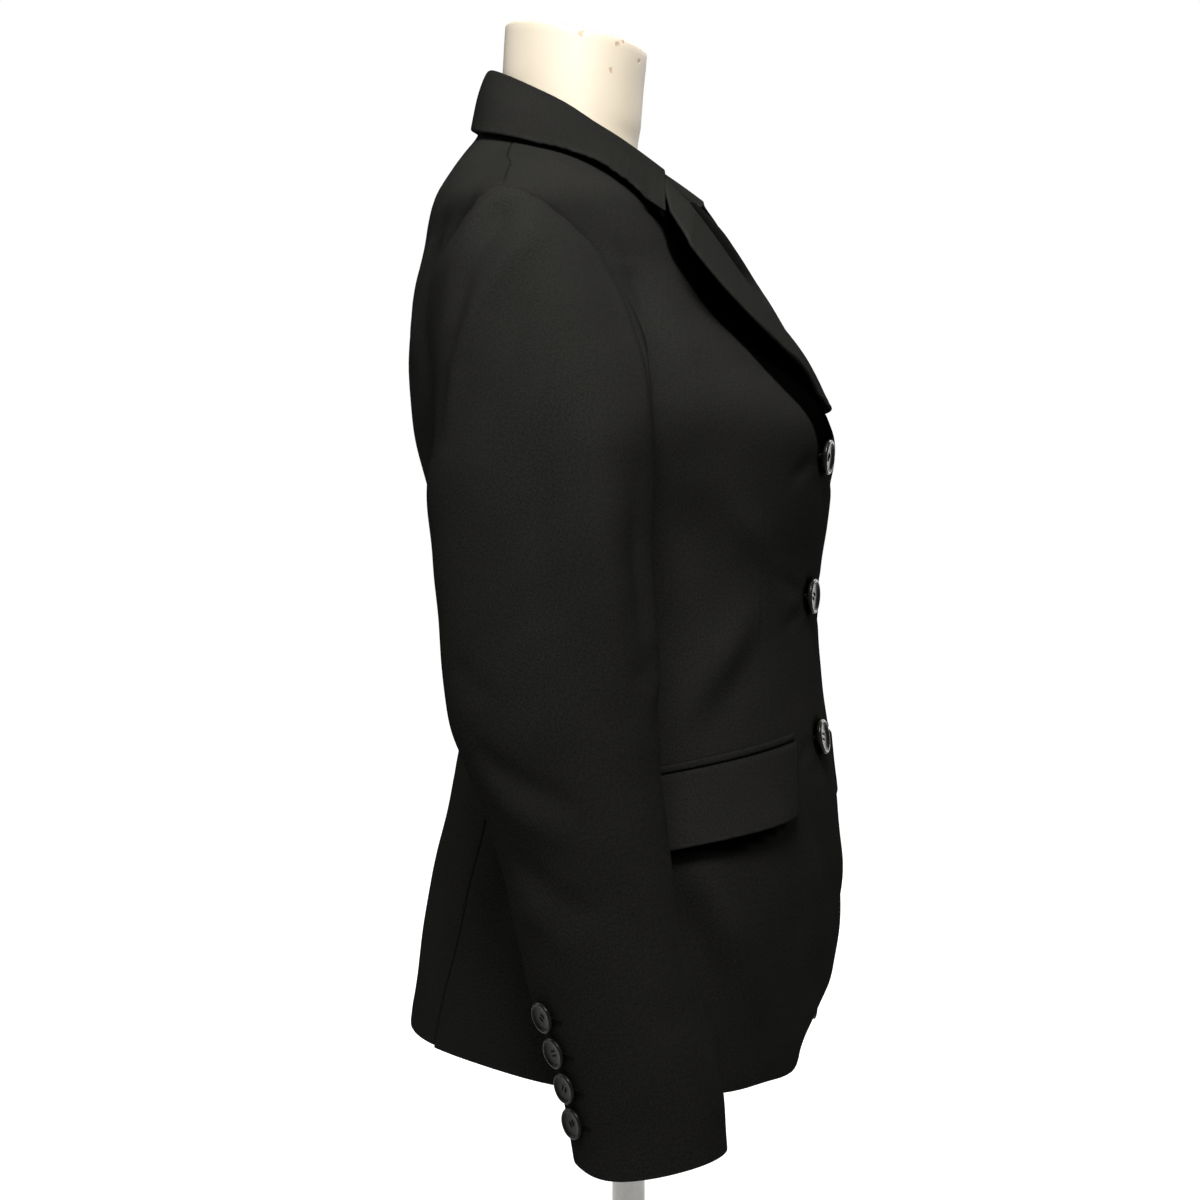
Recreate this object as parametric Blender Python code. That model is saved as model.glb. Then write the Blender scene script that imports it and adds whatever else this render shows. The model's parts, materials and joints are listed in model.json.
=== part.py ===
"""Tailored three-button jacket, fastened on a limbless dress form with a round stand.

Metres, +Z up. The front faces -Y and the wearer's right is -X. The origin lies at
the middle of the stand's foot, on the floor. Every piece of cloth is a thin wall
over one of three surfaces: the body, the sleeve and the turned-back collar. A turn
of 0 degrees is the middle of the front, 90 the side and 180 the middle of the back.
"""
import math
from collections import namedtuple

import bmesh
import bpy
from mathutils import Vector

# ---- driving dimensions -------------------------------------------------------
CLOTH = 0.0020            # wall of one layer of the coat cloth
DOUBLE_CLOTH = 0.0026     # collar, lapel and flap: two layers and a canvas
SEAM_GAP = 0.0003         # distance between two pieces that are sewn together
BUTTON_GAP = 0.00045      # distance of a button's back from the cloth's true surface
TRIM_GAP = 0.0006         # a jet or flap lies this far off the panel's true surface
FOOT_TO_SHEET = 0.020     # how far the tables' zero lies in front of the stand's post
LEFT_UNDERLAP = 11.0      # degrees that the left front reaches further under the right one
UNDERLAP_DEPTH = 0.0028   # the left front lies this far under the right one
UNDERLAP_TURN = 26.0      # the left front has come up to its own place by this turn
UNDERLAP_FOOT = (0.20, 0.27)      # heights between which the underlap begins
UNDERLAP_NARROWS = (0.545, 0.60)  # and between which it ends at the edge
UNDERLAP_RISES = (0.615, 0.650)   # and the left front comes up to the chest

BREAK_HEIGHT = 0.575      # where the lapel starts to roll
GORGE_HEIGHT = 0.7364     # where the roll line meets the collar
CORNER_HEIGHT = 0.1640    # lowest point of the rounded front corner
SIDE_SEAM_TURN = 75.0
SHOULDER_TURN = 91.0
EDGE_BREAK_SHARE = 0.50   # part of the front's edge below the break
EDGE_GORGE_SHARE = 0.84   # and below the neck seam
ARMPIT_SHARE = 0.50       # part of a side seam's line that lies under the armhole
SHOULDER_SEAM_HALF = 0.25     # half the gap of the shoulder seam, in degrees of turn
PANEL_WIDTH = 0.12            # about how wide and how long a panel is, to share out gaps
PANEL_LENGTH = 0.60

ARMHOLE_HEIGHT = 0.6355
ARMHOLE_HALF_HEIGHT = 0.0705
ARMHOLE_FRONT_HALF = 32.0     # degrees of turn from the shoulder point to the front
ARMHOLE_BACK_HALF = 32.0
SIDE_SEAM_AROUND = 149.0      # where the side seam meets the armhole, degrees from its top
BACK_SEAM_AROUND = 234.0      # where the side-back seam meets it

SLEEVE_CAP_BASE = 0.545
CAP_SHARE = 0.27              # part of the sleeve's length that is its cap
SLEEVE_SQUARENESS = 2.15
SLEEVE_FRONT_SEAM = 128.0     # degrees around the arm, 0 outside, 90 front
SLEEVE_BACK_SEAM = 288.0
CUFF_HEIGHT = 0.1385
CUFF_RISE = 0.0065            # how far the cuff rises to the front and falls to the back
LEFT_SLEEVE_BACK = 0.029      # the left cuff hangs this much further back
SLEEVE_SEAM_LIFT = 0.0016     # the sleeve's edge lies this far off the body
CAP_START = 0.018             # how far the cap first runs out from the armhole
CAP_START_TOP = 0.012         # and this much more over the shoulder
CAP_END = 0.036               # how far it still runs straight up the arm
CAP_END_TOP = 0.030
CAP_LEAN = 0.25               # share by which the cap leans forward in front, back behind
CAP_RISE = 0.12               # share by which it rises over the shoulder

COLLAR_ROLL = 0.0036
COLLAR_SEAM_LIFT = 0.0012     # the collar's foot lies this far off the neck seam
COLLAR_SEAM_RISE = 0.0010     # and this much higher
LAPEL_ROLL = 0.0035
LAPEL_FOOT_ROLL = 0.5         # share of the roll that is left at the lapel's foot
LAPEL_ROLL_END = math.radians(150.0)
LAPEL_ROLL_SHARE = 0.30       # part of the lapel's columns that lie in the roll
LAPEL_ROLL_GROWS = 0.35       # the roll is full above this part of the lapel
LAPEL_SEAM_FORWARD = 0.0006   # the lapel starts this far in front of the front's edge
LAPEL_SEAM_INSET = 0.4        # and this share of the cloth inside its face
LEFT_LAPEL_SKIP = 0.30        # the hidden part of the left lapel's edge
LAPEL_TOP = 0.7290
RIGHT_LAPEL_BOTTOM = 0.584
LEFT_LAPEL_BOTTOM = 0.624     # the left lapel's foot is hidden under the right one
LEFT_CORNER_BACK = 0.015      # the left front's free corner hangs this much further back
LEFT_CORNER_TOP = 0.29        # below this height
LEFT_CORNER_TURN = 30.0       # and in front of this turn in full
BUTTON_LINE = -0.020          # the buttons sit this far to the wearer's right

POCKET_FRONT_TURN = 25.5
POCKET_BACK_TURN = 82.0
POCKET_FRONT_HEIGHT = 0.3770
POCKET_BACK_HEIGHT = 0.3540
JET_DEPTH = 0.0062
JET_PROUD = 0.0014
FLAP_DEPTH = 0.047
FLAP_SLANT = 4.0              # degrees that the flap's front edge slopes back
FLAP_STAND_OFF = 0.0055       # the flap's free edge stands off the hip by this
LEFT_FLAP_SHARE = 0.3         # the left one by this share of it

FRONT_BUTTON_HEIGHTS = (0.5533, 0.4626, 0.3707)
FRONT_BUTTON_RADIUS = 0.0115
SLEEVE_BUTTON_HEIGHTS = (0.2225, 0.2025, 0.1825, 0.1625)
SLEEVE_BUTTON_RADIUS = 0.0092
SLEEVE_BUTTON_AROUND = 307.0

FORM_BOTTOM = 0.195
FORM_GAP = 0.0085             # the form's skin lies this far under the cloth's outer face
FORM_FOOT_GAP = 0.0145        # and this much further at its foot
SHOULDER_GAP = 0.0030         # and this far where the jacket rests on its shoulders
NECK_HALF_WIDTH = 0.0465
NECK_HALF_DEPTH = 0.0485
NECK_MIDDLE = 0.0160
NECK_LEAN = 0.075             # the neck leans forward by this share of its height
NECK_TOP_FRONT = 0.832
NECK_TOP_BACK = 0.852

FOOT_RADIUS = 0.150
FOOT_THICKNESS = 0.011
FOOT_EDGE = 0.003
POST_RADIUS = 0.011

# ---- tables: one row for each section ------------------------------------------
Ring = namedtuple("Ring", "height half_width front back middle squareness")
BODY_RINGS = [
    Ring(0.140, 0.177, -0.160, 0.1220, -0.022, 2.3),
    Ring(0.180, 0.179, -0.161, 0.1190, -0.022, 2.3),
    Ring(0.220, 0.178, -0.162, 0.1120, -0.022, 2.3),
    Ring(0.260, 0.174, -0.1635, 0.1045, -0.023, 2.3),
    Ring(0.300, 0.167, -0.1615, 0.0975, -0.024, 2.3),
    Ring(0.340, 0.158, -0.158, 0.0900, -0.026, 2.25),
    Ring(0.380, 0.149, -0.1535, 0.0850, -0.028, 2.2),
    Ring(0.420, 0.142, -0.149, 0.0830, -0.030, 2.2),
    Ring(0.450, 0.139, -0.148, 0.0850, -0.031, 2.2),
    Ring(0.480, 0.141, -0.1495, 0.0910, -0.030, 2.2),
    Ring(0.510, 0.147, -0.1535, 0.1010, -0.026, 2.25),
    Ring(0.540, 0.154, -0.1565, 0.1120, -0.020, 2.3),
    Ring(0.575, 0.163, -0.157, 0.1190, -0.012, 2.3),
    Ring(0.610, 0.169, -0.1390, 0.1200, -0.004, 2.0),
    Ring(0.640, 0.175, -0.1170, 0.1165, 0.001, 1.75),
    Ring(0.670, 0.180, -0.0970, 0.1100, 0.004, 1.7),
    Ring(0.690, 0.188, -0.0840, 0.1040, 0.006, 1.75),
    Ring(0.702, 0.191, -0.0755, 0.1010, 0.008, 1.8),
    Ring(0.712, 0.184, -0.0680, 0.0985, 0.012, 1.9),
    Ring(0.722, 0.165, -0.0600, 0.0965, 0.018, 1.95),
    Ring(0.733, 0.139, -0.0520, 0.0940, 0.024, 2.0),
    Ring(0.745, 0.111, -0.0440, 0.0925, 0.030, 2.0),
    Ring(0.758, 0.085, -0.0340, 0.0890, 0.034, 2.0),
    Ring(0.772, 0.063, -0.0260, 0.0830, 0.034, 2.0),
    Ring(0.792, 0.050, -0.0220, 0.0770, 0.030, 2.0),
]

BACK_SQUARENESS = 2.2         # the rings are this square behind; the column is the front's

EdgePoint = namedtuple("EdgePoint", "height side")
FRONT_EDGE = [  # distance of the edge from the middle, towards its own side when below 0
    EdgePoint(0.1640, -0.100),
    EdgePoint(0.1655, -0.088),
    EdgePoint(0.1700, -0.081),
    EdgePoint(0.1790, -0.077),
    EdgePoint(0.1890, -0.067),
    EdgePoint(0.2030, -0.041),
    EdgePoint(0.2190, -0.012),
    EdgePoint(0.2380, 0.003),
    EdgePoint(0.2650, 0.008),
    EdgePoint(0.5600, 0.008),
    EdgePoint(0.5750, 0.008),
    EdgePoint(0.6104, -0.002),
    EdgePoint(0.6514, -0.020),
    EdgePoint(0.6882, -0.035),
    EdgePoint(0.7260, -0.050),
    EdgePoint(0.7364, -0.056),
]

HemPoint = namedtuple("HemPoint", "turn height")
HEM = [
    HemPoint(0.0, 0.1650),
    HemPoint(38.0, 0.1635),
    HemPoint(50.0, 0.1622),
    HemPoint(75.0, 0.1645),
    HemPoint(90.0, 0.1685),
    HemPoint(107.0, 0.1750),
    HemPoint(118.0, 0.1785),
    HemPoint(128.0, 0.1800),
    HemPoint(155.0, 0.1805),
    HemPoint(180.0, 0.1785),
]
BACK_HEM_RISE = 0.0015        # the back hangs a little shorter than the side panel

NeckPoint = namedtuple("NeckPoint", "turn height")
NECK_SEAM = [
    NeckPoint(24.0, 0.7364),
    NeckPoint(38.0, 0.7450),
    NeckPoint(55.0, 0.7520),
    NeckPoint(72.0, 0.7580),
    NeckPoint(91.0, 0.7640),
    NeckPoint(112.0, 0.7720),
    NeckPoint(140.0, 0.7810),
    NeckPoint(180.0, 0.7900),
]

SeamPoint = namedtuple("SeamPoint", "height turn")
SIDE_BACK_SEAM = [
    SeamPoint(0.160, 130.0),
    SeamPoint(0.196, 128.0),
    SeamPoint(0.244, 124.5),
    SeamPoint(0.275, 122.5),
    SeamPoint(0.326, 120.0),
    SeamPoint(0.400, 116.5),
    SeamPoint(0.460, 115.0),
    SeamPoint(0.520, 115.0),
    SeamPoint(0.594, 118.0),
]

ArmRing = namedtuple("ArmRing", "height out middle half_depth half_width")
SLEEVE_RINGS = [
    ArmRing(0.1180, 0.2165, -0.0905, 0.0445, 0.0320),
    ArmRing(0.1550, 0.2165, -0.0860, 0.0460, 0.0330),
    ArmRing(0.1830, 0.2170, -0.0815, 0.0475, 0.0340),
    ArmRing(0.2310, 0.2175, -0.0670, 0.0485, 0.0355),
    ArmRing(0.2770, 0.2185, -0.0560, 0.0485, 0.0375),
    ArmRing(0.3070, 0.2190, -0.0505, 0.0500, 0.0390),
    ArmRing(0.3360, 0.2195, -0.0435, 0.0530, 0.0410),
    ArmRing(0.3625, 0.2195, -0.0365, 0.0575, 0.0425),
    ArmRing(0.3830, 0.2190, -0.0320, 0.0615, 0.0440),
    ArmRing(0.4060, 0.2180, -0.0290, 0.0635, 0.0445),
    ArmRing(0.4370, 0.2165, -0.0270, 0.0645, 0.0455),
    ArmRing(0.4830, 0.2135, -0.0225, 0.0655, 0.0470),
    ArmRing(0.5290, 0.2105, -0.0200, 0.0670, 0.0485),
    ArmRing(0.5600, 0.2080, -0.0230, 0.0645, 0.0485),
]

FoldPoint = namedtuple("FoldPoint", "share x y height")
COLLAR_FOLD = [
    FoldPoint(0.000, 0.0000, 0.0752, 0.8205),
    FoldPoint(0.125, 0.0245, 0.0690, 0.8175),
    FoldPoint(0.250, 0.0440, 0.0510, 0.8080),
    FoldPoint(0.375, 0.0580, 0.0250, 0.7940),
    FoldPoint(0.500, 0.0650, 0.0050, 0.7825),
    FoldPoint(0.625, 0.0670, -0.0137, 0.7695),
    FoldPoint(0.750, 0.0665, -0.0290, 0.7595),
    FoldPoint(0.875, 0.0635, -0.0425, 0.7500),
    FoldPoint(1.000, 0.0580, -0.0560, 0.7400),
]
COLLAR_EDGE = [
    FoldPoint(0.000, 0.0000, 0.0880, 0.7815),
    FoldPoint(0.125, 0.0330, 0.0805, 0.7765),
    FoldPoint(0.250, 0.0640, 0.0655, 0.7685),
    FoldPoint(0.375, 0.0880, 0.0440, 0.7610),
    FoldPoint(0.500, 0.1010, 0.0180, 0.7525),
    FoldPoint(0.625, 0.1070, -0.0060, 0.7425),
    FoldPoint(0.750, 0.1080, -0.0280, 0.7295),
    FoldPoint(0.875, 0.1070, -0.0480, 0.7185),
    FoldPoint(1.000, 0.1050, -0.0695, 0.7070),
]
CollarFoot = namedtuple("CollarFoot", "share turn")
COLLAR_FOOT = [
    CollarFoot(0.000, 180.0),
    CollarFoot(0.250, 136.0),
    CollarFoot(0.500, 95.0),
    CollarFoot(0.750, 60.0),
    CollarFoot(1.000, 26.0),
]

LAPEL_EDGE = [
    FoldPoint(0.00, 0.0060, -0.1560, 0.5840),
    FoldPoint(0.14, 0.0380, -0.1480, 0.6080),
    FoldPoint(0.32, 0.0660, -0.1370, 0.6215),
    FoldPoint(0.50, 0.0880, -0.1250, 0.6350),
    FoldPoint(0.68, 0.1060, -0.1070, 0.6560),
    FoldPoint(0.82, 0.1185, -0.0905, 0.6780),
    FoldPoint(0.86, 0.1175, -0.0880, 0.6830),
    FoldPoint(1.00, 0.0940, -0.0740, 0.7055),
]
EDGE_LIFT = 0.0045            # least height of collar and lapel edges over the chest
LEFT_LAPEL_LIFT = 0.0045      # the left lapel lies flatter than the right one

FormRing = namedtuple("FormRing", "height neck_share")
FORM_RINGS = [
    FormRing(0.195, 0.0), FormRing(0.230, 0.0), FormRing(0.290, 0.0), FormRing(0.350, 0.0),
    FormRing(0.410, 0.0), FormRing(0.460, 0.0), FormRing(0.520, 0.0), FormRing(0.575, 0.0),
    FormRing(0.625, 0.0), FormRing(0.670, 0.0), FormRing(0.694, 0.0), FormRing(0.706, 0.0),
    FormRing(0.718, 0.0), FormRing(0.732, 0.0), FormRing(0.745, 0.05), FormRing(0.756, 0.3),
    FormRing(0.768, 0.75), FormRing(0.782, 1.0), FormRing(0.812, 1.0),
]
FORM_SIDES = 32

BUTTON_PROFILE = [  # shares of the radius: distance from the middle, height over the back
    (0.00, 0.00), (0.72, 0.00), (0.97, 0.10), (1.00, 0.20), (0.94, 0.31),
    (0.80, 0.32), (0.66, 0.24), (0.00, 0.20),
]


# ---- reading the tables ----------------------------------------------------------
def read_table(rows, place):
    """Return the columns after the first, smoothed through the rows, at a place."""
    last = len(rows) - 1
    place = min(max(place, rows[0][0]), rows[last][0])
    index = 0
    while index < last - 1 and place > rows[index + 1][0]:
        index += 1
    low = rows[index]
    high = rows[index + 1]
    before = rows[max(index - 1, 0)]
    after = rows[min(index + 2, last)]
    span = high[0] - low[0]
    t = (place - low[0]) / span
    values = []
    for column in range(1, len(low)):
        rise = (high[column] - low[column]) / span
        slope_low = (high[column] - before[column]) / (high[0] - before[0])
        slope_high = (after[column] - low[column]) / (after[0] - low[0])
        if index == 0:
            slope_low = rise
        if index + 1 == last:
            slope_high = rise
        a = 2 * t ** 3 - 3 * t ** 2 + 1
        b = t ** 3 - 2 * t ** 2 + t
        c = t ** 3 - t ** 2
        values.append(a * low[column] + b * span * slope_low
                      + (1 - a) * high[column] + c * span * slope_high)
    return values


def mix(a, b, share):
    """Blend two numbers, points or (turn, height) pairs."""
    if isinstance(a, tuple):
        return tuple(p * (1 - share) + q * share for p, q in zip(a, b))
    return a * (1 - share) + b * share


def smooth_step(low, high, value):
    """Rise smoothly from 0 at low to 1 at high."""
    t = min(max((value - low) / (high - low), 0.0), 1.0)
    return t * t * (3 - 2 * t)


# ---- the body surface ------------------------------------------------------------
def ring_point(turn, half_width, front, back, middle, squareness, height):
    """A point on one closed, slightly squared ring; turn runs from the front."""
    angle = math.radians(turn)
    sine = math.sin(angle)
    cosine = math.cos(angle)
    stretch = (abs(sine) ** squareness + abs(cosine) ** squareness) ** (1.0 / squareness)
    depth = middle - front if cosine > 0 else back - middle
    return Vector((half_width * sine / stretch,
                   middle - depth * cosine / stretch + FOOT_TO_SHEET, height))


def body_point(turn, height):
    """The outer face of the jacket's body; turns below 0 are the wearer's right."""
    half_width, front, back, middle, squareness = read_table(BODY_RINGS, height)
    if abs(turn) > 90.0:
        squareness = BACK_SQUARENESS
    return ring_point(turn, half_width, front, back, middle, squareness, height)


def normal_of(surface, u, v, du, dv):
    """The outward normal of a surface given as a function of two numbers."""
    along = surface(u + du, v) - surface(u - du, v)
    up = surface(u, v + dv) - surface(u, v - dv)
    return along.cross(up).normalized()


def body_normal(turn, height):
    return normal_of(body_point, turn, height, 0.5, 0.001)


def turn_at(side_distance, height):
    """The turn on the body, in degrees, that lies a distance from the middle of the front."""
    low, high = -60.0, 90.0
    for _ in range(40):
        middle = (low + high) / 2
        if body_point(middle, height).x < side_distance:
            low = middle
        else:
            high = middle
    return (low + high) / 2


def off_body(point, lift):
    """Move a point out along the body's normal until it lies at least a lift above it."""
    point = point.copy()
    for _ in range(60):
        half_width, front, back, middle, squareness = read_table(BODY_RINGS, point.z)
        y = point.y - FOOT_TO_SHEET - middle
        depth = middle - front if y < 0 else back - middle
        turn = math.degrees(math.atan2(abs(point.x) / half_width, -y / depth))
        surface = body_point(turn, point.z)
        normal = body_normal(turn, point.z)
        away = Vector((abs(point.x), point.y, point.z)) - surface
        if away.dot(normal) >= lift:
            return point
        normal.x *= -1.0 if point.x < 0 else 1.0
        point += normal * 0.001
    return point


# ---- curves that bound the body's panels, as (turn, height) ------------------------
def front_edge(share, underlap=0.0):
    """Up the front edge, the roll line and the front of the neck to the shoulder seam.

    The left front reaches further under the right one by the underlap, in degrees.
    """
    if share <= EDGE_BREAK_SHARE:
        height = mix(CORNER_HEIGHT, BREAK_HEIGHT, share / EDGE_BREAK_SHARE)
    else:
        above = (share - EDGE_BREAK_SHARE) / (EDGE_GORGE_SHARE - EDGE_BREAK_SHARE)
        height = mix(BREAK_HEIGHT, GORGE_HEIGHT, above)
    if share <= EDGE_GORGE_SHARE:
        side = read_table(FRONT_EDGE, height)[0]
        fastened = smooth_step(*UNDERLAP_FOOT, height)
        fastened *= 1 - smooth_step(*UNDERLAP_NARROWS, height)
        return (turn_at(-side, height) - underlap * fastened, height)
    beyond = (share - EDGE_GORGE_SHARE) / (1 - EDGE_GORGE_SHARE)
    turn = mix(NECK_SEAM[0].turn, SHOULDER_TURN, beyond)
    return (turn, read_table(NECK_SEAM, turn)[0])


def armhole(around):
    """Round the armhole: 0 at the shoulder point, 90 in front, 180 under the arm."""
    angle = math.radians(around)
    half = ARMHOLE_FRONT_HALF if math.sin(angle) > 0 else ARMHOLE_BACK_HALF
    return (SHOULDER_TURN - half * math.sin(angle),
            ARMHOLE_HEIGHT + ARMHOLE_HALF_HEIGHT * math.cos(angle))


def hem_height(turn):
    return read_table(HEM, turn)[0]


def side_front_line(share):
    """Up the side seam and round the front of the armhole to the shoulder point."""
    foot = (SIDE_SEAM_TURN, hem_height(SIDE_SEAM_TURN))
    top = armhole(SIDE_SEAM_AROUND)
    if share <= ARMPIT_SHARE:
        return mix(foot, top, share / ARMPIT_SHARE)
    above = (share - ARMPIT_SHARE) / (1 - ARMPIT_SHARE)
    return armhole(mix(SIDE_SEAM_AROUND, 0.0, above))


def side_back_line(share):
    """Up the side-back seam and round the back of the armhole to the shoulder point."""
    top = armhole(BACK_SEAM_AROUND)
    if share <= ARMPIT_SHARE:
        height = mix(hem_height(SIDE_BACK_SEAM[0].turn), top[1], share / ARMPIT_SHARE)
        return (read_table(SIDE_BACK_SEAM, height)[0], height)
    above = (share - ARMPIT_SHARE) / (1 - ARMPIT_SHARE)
    return armhole(mix(BACK_SEAM_AROUND, 360.0, above))


def centre_back_line(share):
    return (180.0, mix(hem_height(180.0), NECK_SEAM[-1].height, share))


def patch(left, right, bottom, top, u, v):
    """A point of the sheet spanned by four curves that meet at their ends."""
    a, b, c, d = left(v), right(v), bottom(u), top(u)
    p00, p10, p01, p11 = left(0.0), right(0.0), left(1.0), right(1.0)
    pair = []
    for i in range(2):
        ruled = a[i] * (1 - u) + b[i] * u + c[i] * (1 - v) + d[i] * v
        corners = (p00[i] * (1 - u) * (1 - v) + p10[i] * u * (1 - v)
                   + p01[i] * (1 - u) * v + p11[i] * u * v)
        pair.append(ruled - corners)
    return tuple(pair)


def front_cut(u, v, underlap=0.0):
    """The front panel: u from its edge to the side, v from the hem to the shoulder."""
    def edge(share):
        return front_edge(share, underlap)

    def hem(share):
        turn = mix(front_edge(0.0)[0], SIDE_SEAM_TURN, share)
        return (turn, mix(front_edge(0.0)[1], hem_height(turn), smooth_step(0.0, 0.25, share)))

    def shoulder(share):
        return mix(front_edge(1.0), armhole(0.0), share)
    turn, height = patch(edge, side_front_line, hem, shoulder, u, v)
    return (min(turn, SHOULDER_TURN - SHOULDER_SEAM_HALF), height)


def left_front_cut(u, v):
    return front_cut(u, v, LEFT_UNDERLAP)


def side_cut(u, v):
    """The side panel: u from the front-side seam to the side-back seam."""
    def front(share):
        return side_front_line(share * ARMPIT_SHARE)

    def back(share):
        return side_back_line(share * ARMPIT_SHARE)

    def hem(share):
        turn = mix(SIDE_SEAM_TURN, back(0.0)[0], share)
        return (turn, hem_height(turn))

    def arm(share):
        return armhole(mix(SIDE_SEAM_AROUND, BACK_SEAM_AROUND, share))
    return patch(front, back, hem, arm, u, v)


def back_cut(u, v):
    """The back panel: u from the side to the centre-back seam."""
    def hem(share):
        turn = mix(side_back_line(0.0)[0], 180.0, share)
        return (turn, hem_height(turn))

    def top(share):
        if share <= 0.5:
            return mix(armhole(360.0), (SHOULDER_TURN, read_table(NECK_SEAM, SHOULDER_TURN)[0]),
                       share / 0.5)
        turn = mix(SHOULDER_TURN, 180.0, (share - 0.5) / 0.5)
        return (turn, read_table(NECK_SEAM, turn)[0])
    turn, height = patch(side_back_line, centre_back_line, hem, top, u, v)
    turn = max(turn, SHOULDER_TURN + SHOULDER_SEAM_HALF)
    return (turn, height + BACK_HEM_RISE * (1 - smooth_step(0.0, 0.2, v)))


# ---- building solids ------------------------------------------------------------
def make_material(name, colour, roughness, metallic=0.0):
    material = bpy.data.materials.new(name)
    material.use_nodes = True
    shader = material.node_tree.nodes["Principled BSDF"]
    shader.inputs["Base Color"].default_value = (*colour, 1.0)
    shader.inputs["Roughness"].default_value = roughness
    shader.inputs["Metallic"].default_value = metallic
    return material


def finish(bm, name, material, sharp=50.0):
    """Turn a bmesh into a named object with outward faces and smooth shading."""
    bmesh.ops.triangulate(bm, faces=bm.faces, quad_method="SHORT_EDGE")
    bmesh.ops.recalc_face_normals(bm, faces=bm.faces)
    mesh = bpy.data.meshes.new(name)
    bm.to_mesh(mesh)
    bm.free()
    mesh.shade_smooth()
    mesh.set_sharp_from_angle(angle=math.radians(sharp))
    mesh.materials.append(material)
    piece = bpy.data.objects.new(name, mesh)
    bpy.context.scene.collection.objects.link(piece)
    return piece


def wall(name, columns, rows, faces_of, material):
    """A thin closed wall: faces_of(u, v) gives its outer and its inner point."""
    bm = bmesh.new()
    bmesh.ops.create_grid(bm, x_segments=columns, y_segments=rows, size=0.5)
    pulled = bmesh.ops.extrude_face_region(bm, geom=bm.faces[:])["geom"]
    inner = {item for item in pulled if isinstance(item, bmesh.types.BMVert)}
    for vert in bm.verts:
        outside, inside = faces_of(vert.co.x + 0.5, vert.co.y + 0.5)
        vert.co = inside if vert in inner else outside
    return finish(bm, name, material)


def turned(name, profile, steps, material, place=None, axis=None):
    """A solid turned round its own Z from a profile of (radius, height) points."""
    bm = bmesh.new()
    verts = [bm.verts.new((radius, 0.0, height)) for radius, height in profile]
    edges = [bm.edges.new(pair) for pair in zip(verts[:-1], verts[1:])]
    bmesh.ops.spin(bm, geom=verts + edges, cent=(0, 0, 0), axis=(0, 0, 1),
                   angle=math.tau, steps=steps, use_merge=True)
    bmesh.ops.remove_doubles(bm, verts=bm.verts[:], dist=0.00001)
    piece = finish(bm, name, material, 35.0)
    if place is not None:
        piece.rotation_euler = axis.to_track_quat("Z", "Y").to_euler()
        piece.location = place
    return piece


def panel(name, side, cut, columns, rows, material, trims, under=False):
    """One body panel; trims holds the gaps left at its u and v ends, in metres."""
    start_u, end_u, start_v, end_v = trims

    def faces_of(u, v):
        u = mix(start_u / PANEL_WIDTH, 1 - end_u / PANEL_WIDTH, u)
        v = mix(start_v / PANEL_LENGTH, 1 - end_v / PANEL_LENGTH, v)
        turn, height = cut(u, v)
        point = body_point(side * turn, height)
        normal = body_normal(side * turn, height)
        if under:
            share = 1 - smooth_step(UNDERLAP_TURN * 0.4, UNDERLAP_TURN, turn)
            share *= 1 - smooth_step(*UNDERLAP_RISES, height)
            point -= normal * UNDERLAP_DEPTH * share
            corner = 1 - smooth_step(LEFT_CORNER_TURN, SIDE_SEAM_TURN, turn)
            corner *= 1 - smooth_step(CORNER_HEIGHT, LEFT_CORNER_TOP, height)
            point.y += LEFT_CORNER_BACK * corner
        return point, point - normal * CLOTH
    return wall(name, columns, rows, faces_of, material)


# ---- sleeves ---------------------------------------------------------------------
def sleeve_ring(side, around, height):
    """A point on the arm's tube: around is 0 outside, 90 in front, 180 inside."""
    out, middle, half_depth, half_width = read_table(SLEEVE_RINGS, height)
    if side > 0:
        middle += LEFT_SLEEVE_BACK * (1 - smooth_step(0.15, 0.50, height))
    angle = math.radians(around)
    sine = math.sin(angle)
    cosine = math.cos(angle)
    stretch = ((abs(sine) ** SLEEVE_SQUARENESS + abs(cosine) ** SLEEVE_SQUARENESS)
               ** (1.0 / SLEEVE_SQUARENESS))
    return Vector((side * (out + half_width * cosine / stretch),
                   middle - half_depth * sine / stretch + FOOT_TO_SHEET, height))


def cuff_height(around):
    """The cuff's edge: higher in front, lower at the back."""
    return CUFF_HEIGHT + CUFF_RISE * math.sin(math.radians(around))


def sleeve_point(side, around, share):
    """The sleeve's outer face: share 0 at the armhole seam, 1 at the cuff."""
    if share > CAP_SHARE:
        height = mix(SLEEVE_CAP_BASE, cuff_height(around), (share - CAP_SHARE) / (1 - CAP_SHARE))
        return sleeve_ring(side, around, height)
    turn, height = armhole(around)
    cosine = math.cos(math.radians(around))
    start = body_point(side * turn, height)
    start += body_normal(side * turn, height) * SLEEVE_SEAM_LIFT
    end = sleeve_ring(side, around, SLEEVE_CAP_BASE)
    below = sleeve_ring(side, around, SLEEVE_CAP_BASE - 0.01)
    sine = math.sin(math.radians(around))
    outward = Vector((side, -CAP_LEAN * sine, CAP_RISE * max(cosine, 0.0)))
    first = start + outward.normalized() * (CAP_START + CAP_START_TOP * cosine)
    second = end + (end - below).normalized() * (CAP_END + CAP_END_TOP * cosine)
    t = share / CAP_SHARE
    return (start * (1 - t) ** 3 + first * 3 * t * (1 - t) ** 2
            + second * 3 * t * t * (1 - t) + end * t ** 3)


def sleeve_faces(side, around, share):
    """Outer and inner point of the sleeve's wall."""
    def surface(a, s):
        return sleeve_point(side, a, s)
    point = surface(around, share)
    low = max(share - 0.004, 0.0)
    high = min(share + 0.004, 1.0)
    along = surface(around + 1.0, share) - surface(around - 1.0, share)
    down = surface(around, high) - surface(around, low)
    normal = (along.cross(down) * side).normalized()
    return point, point - normal * CLOTH


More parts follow.
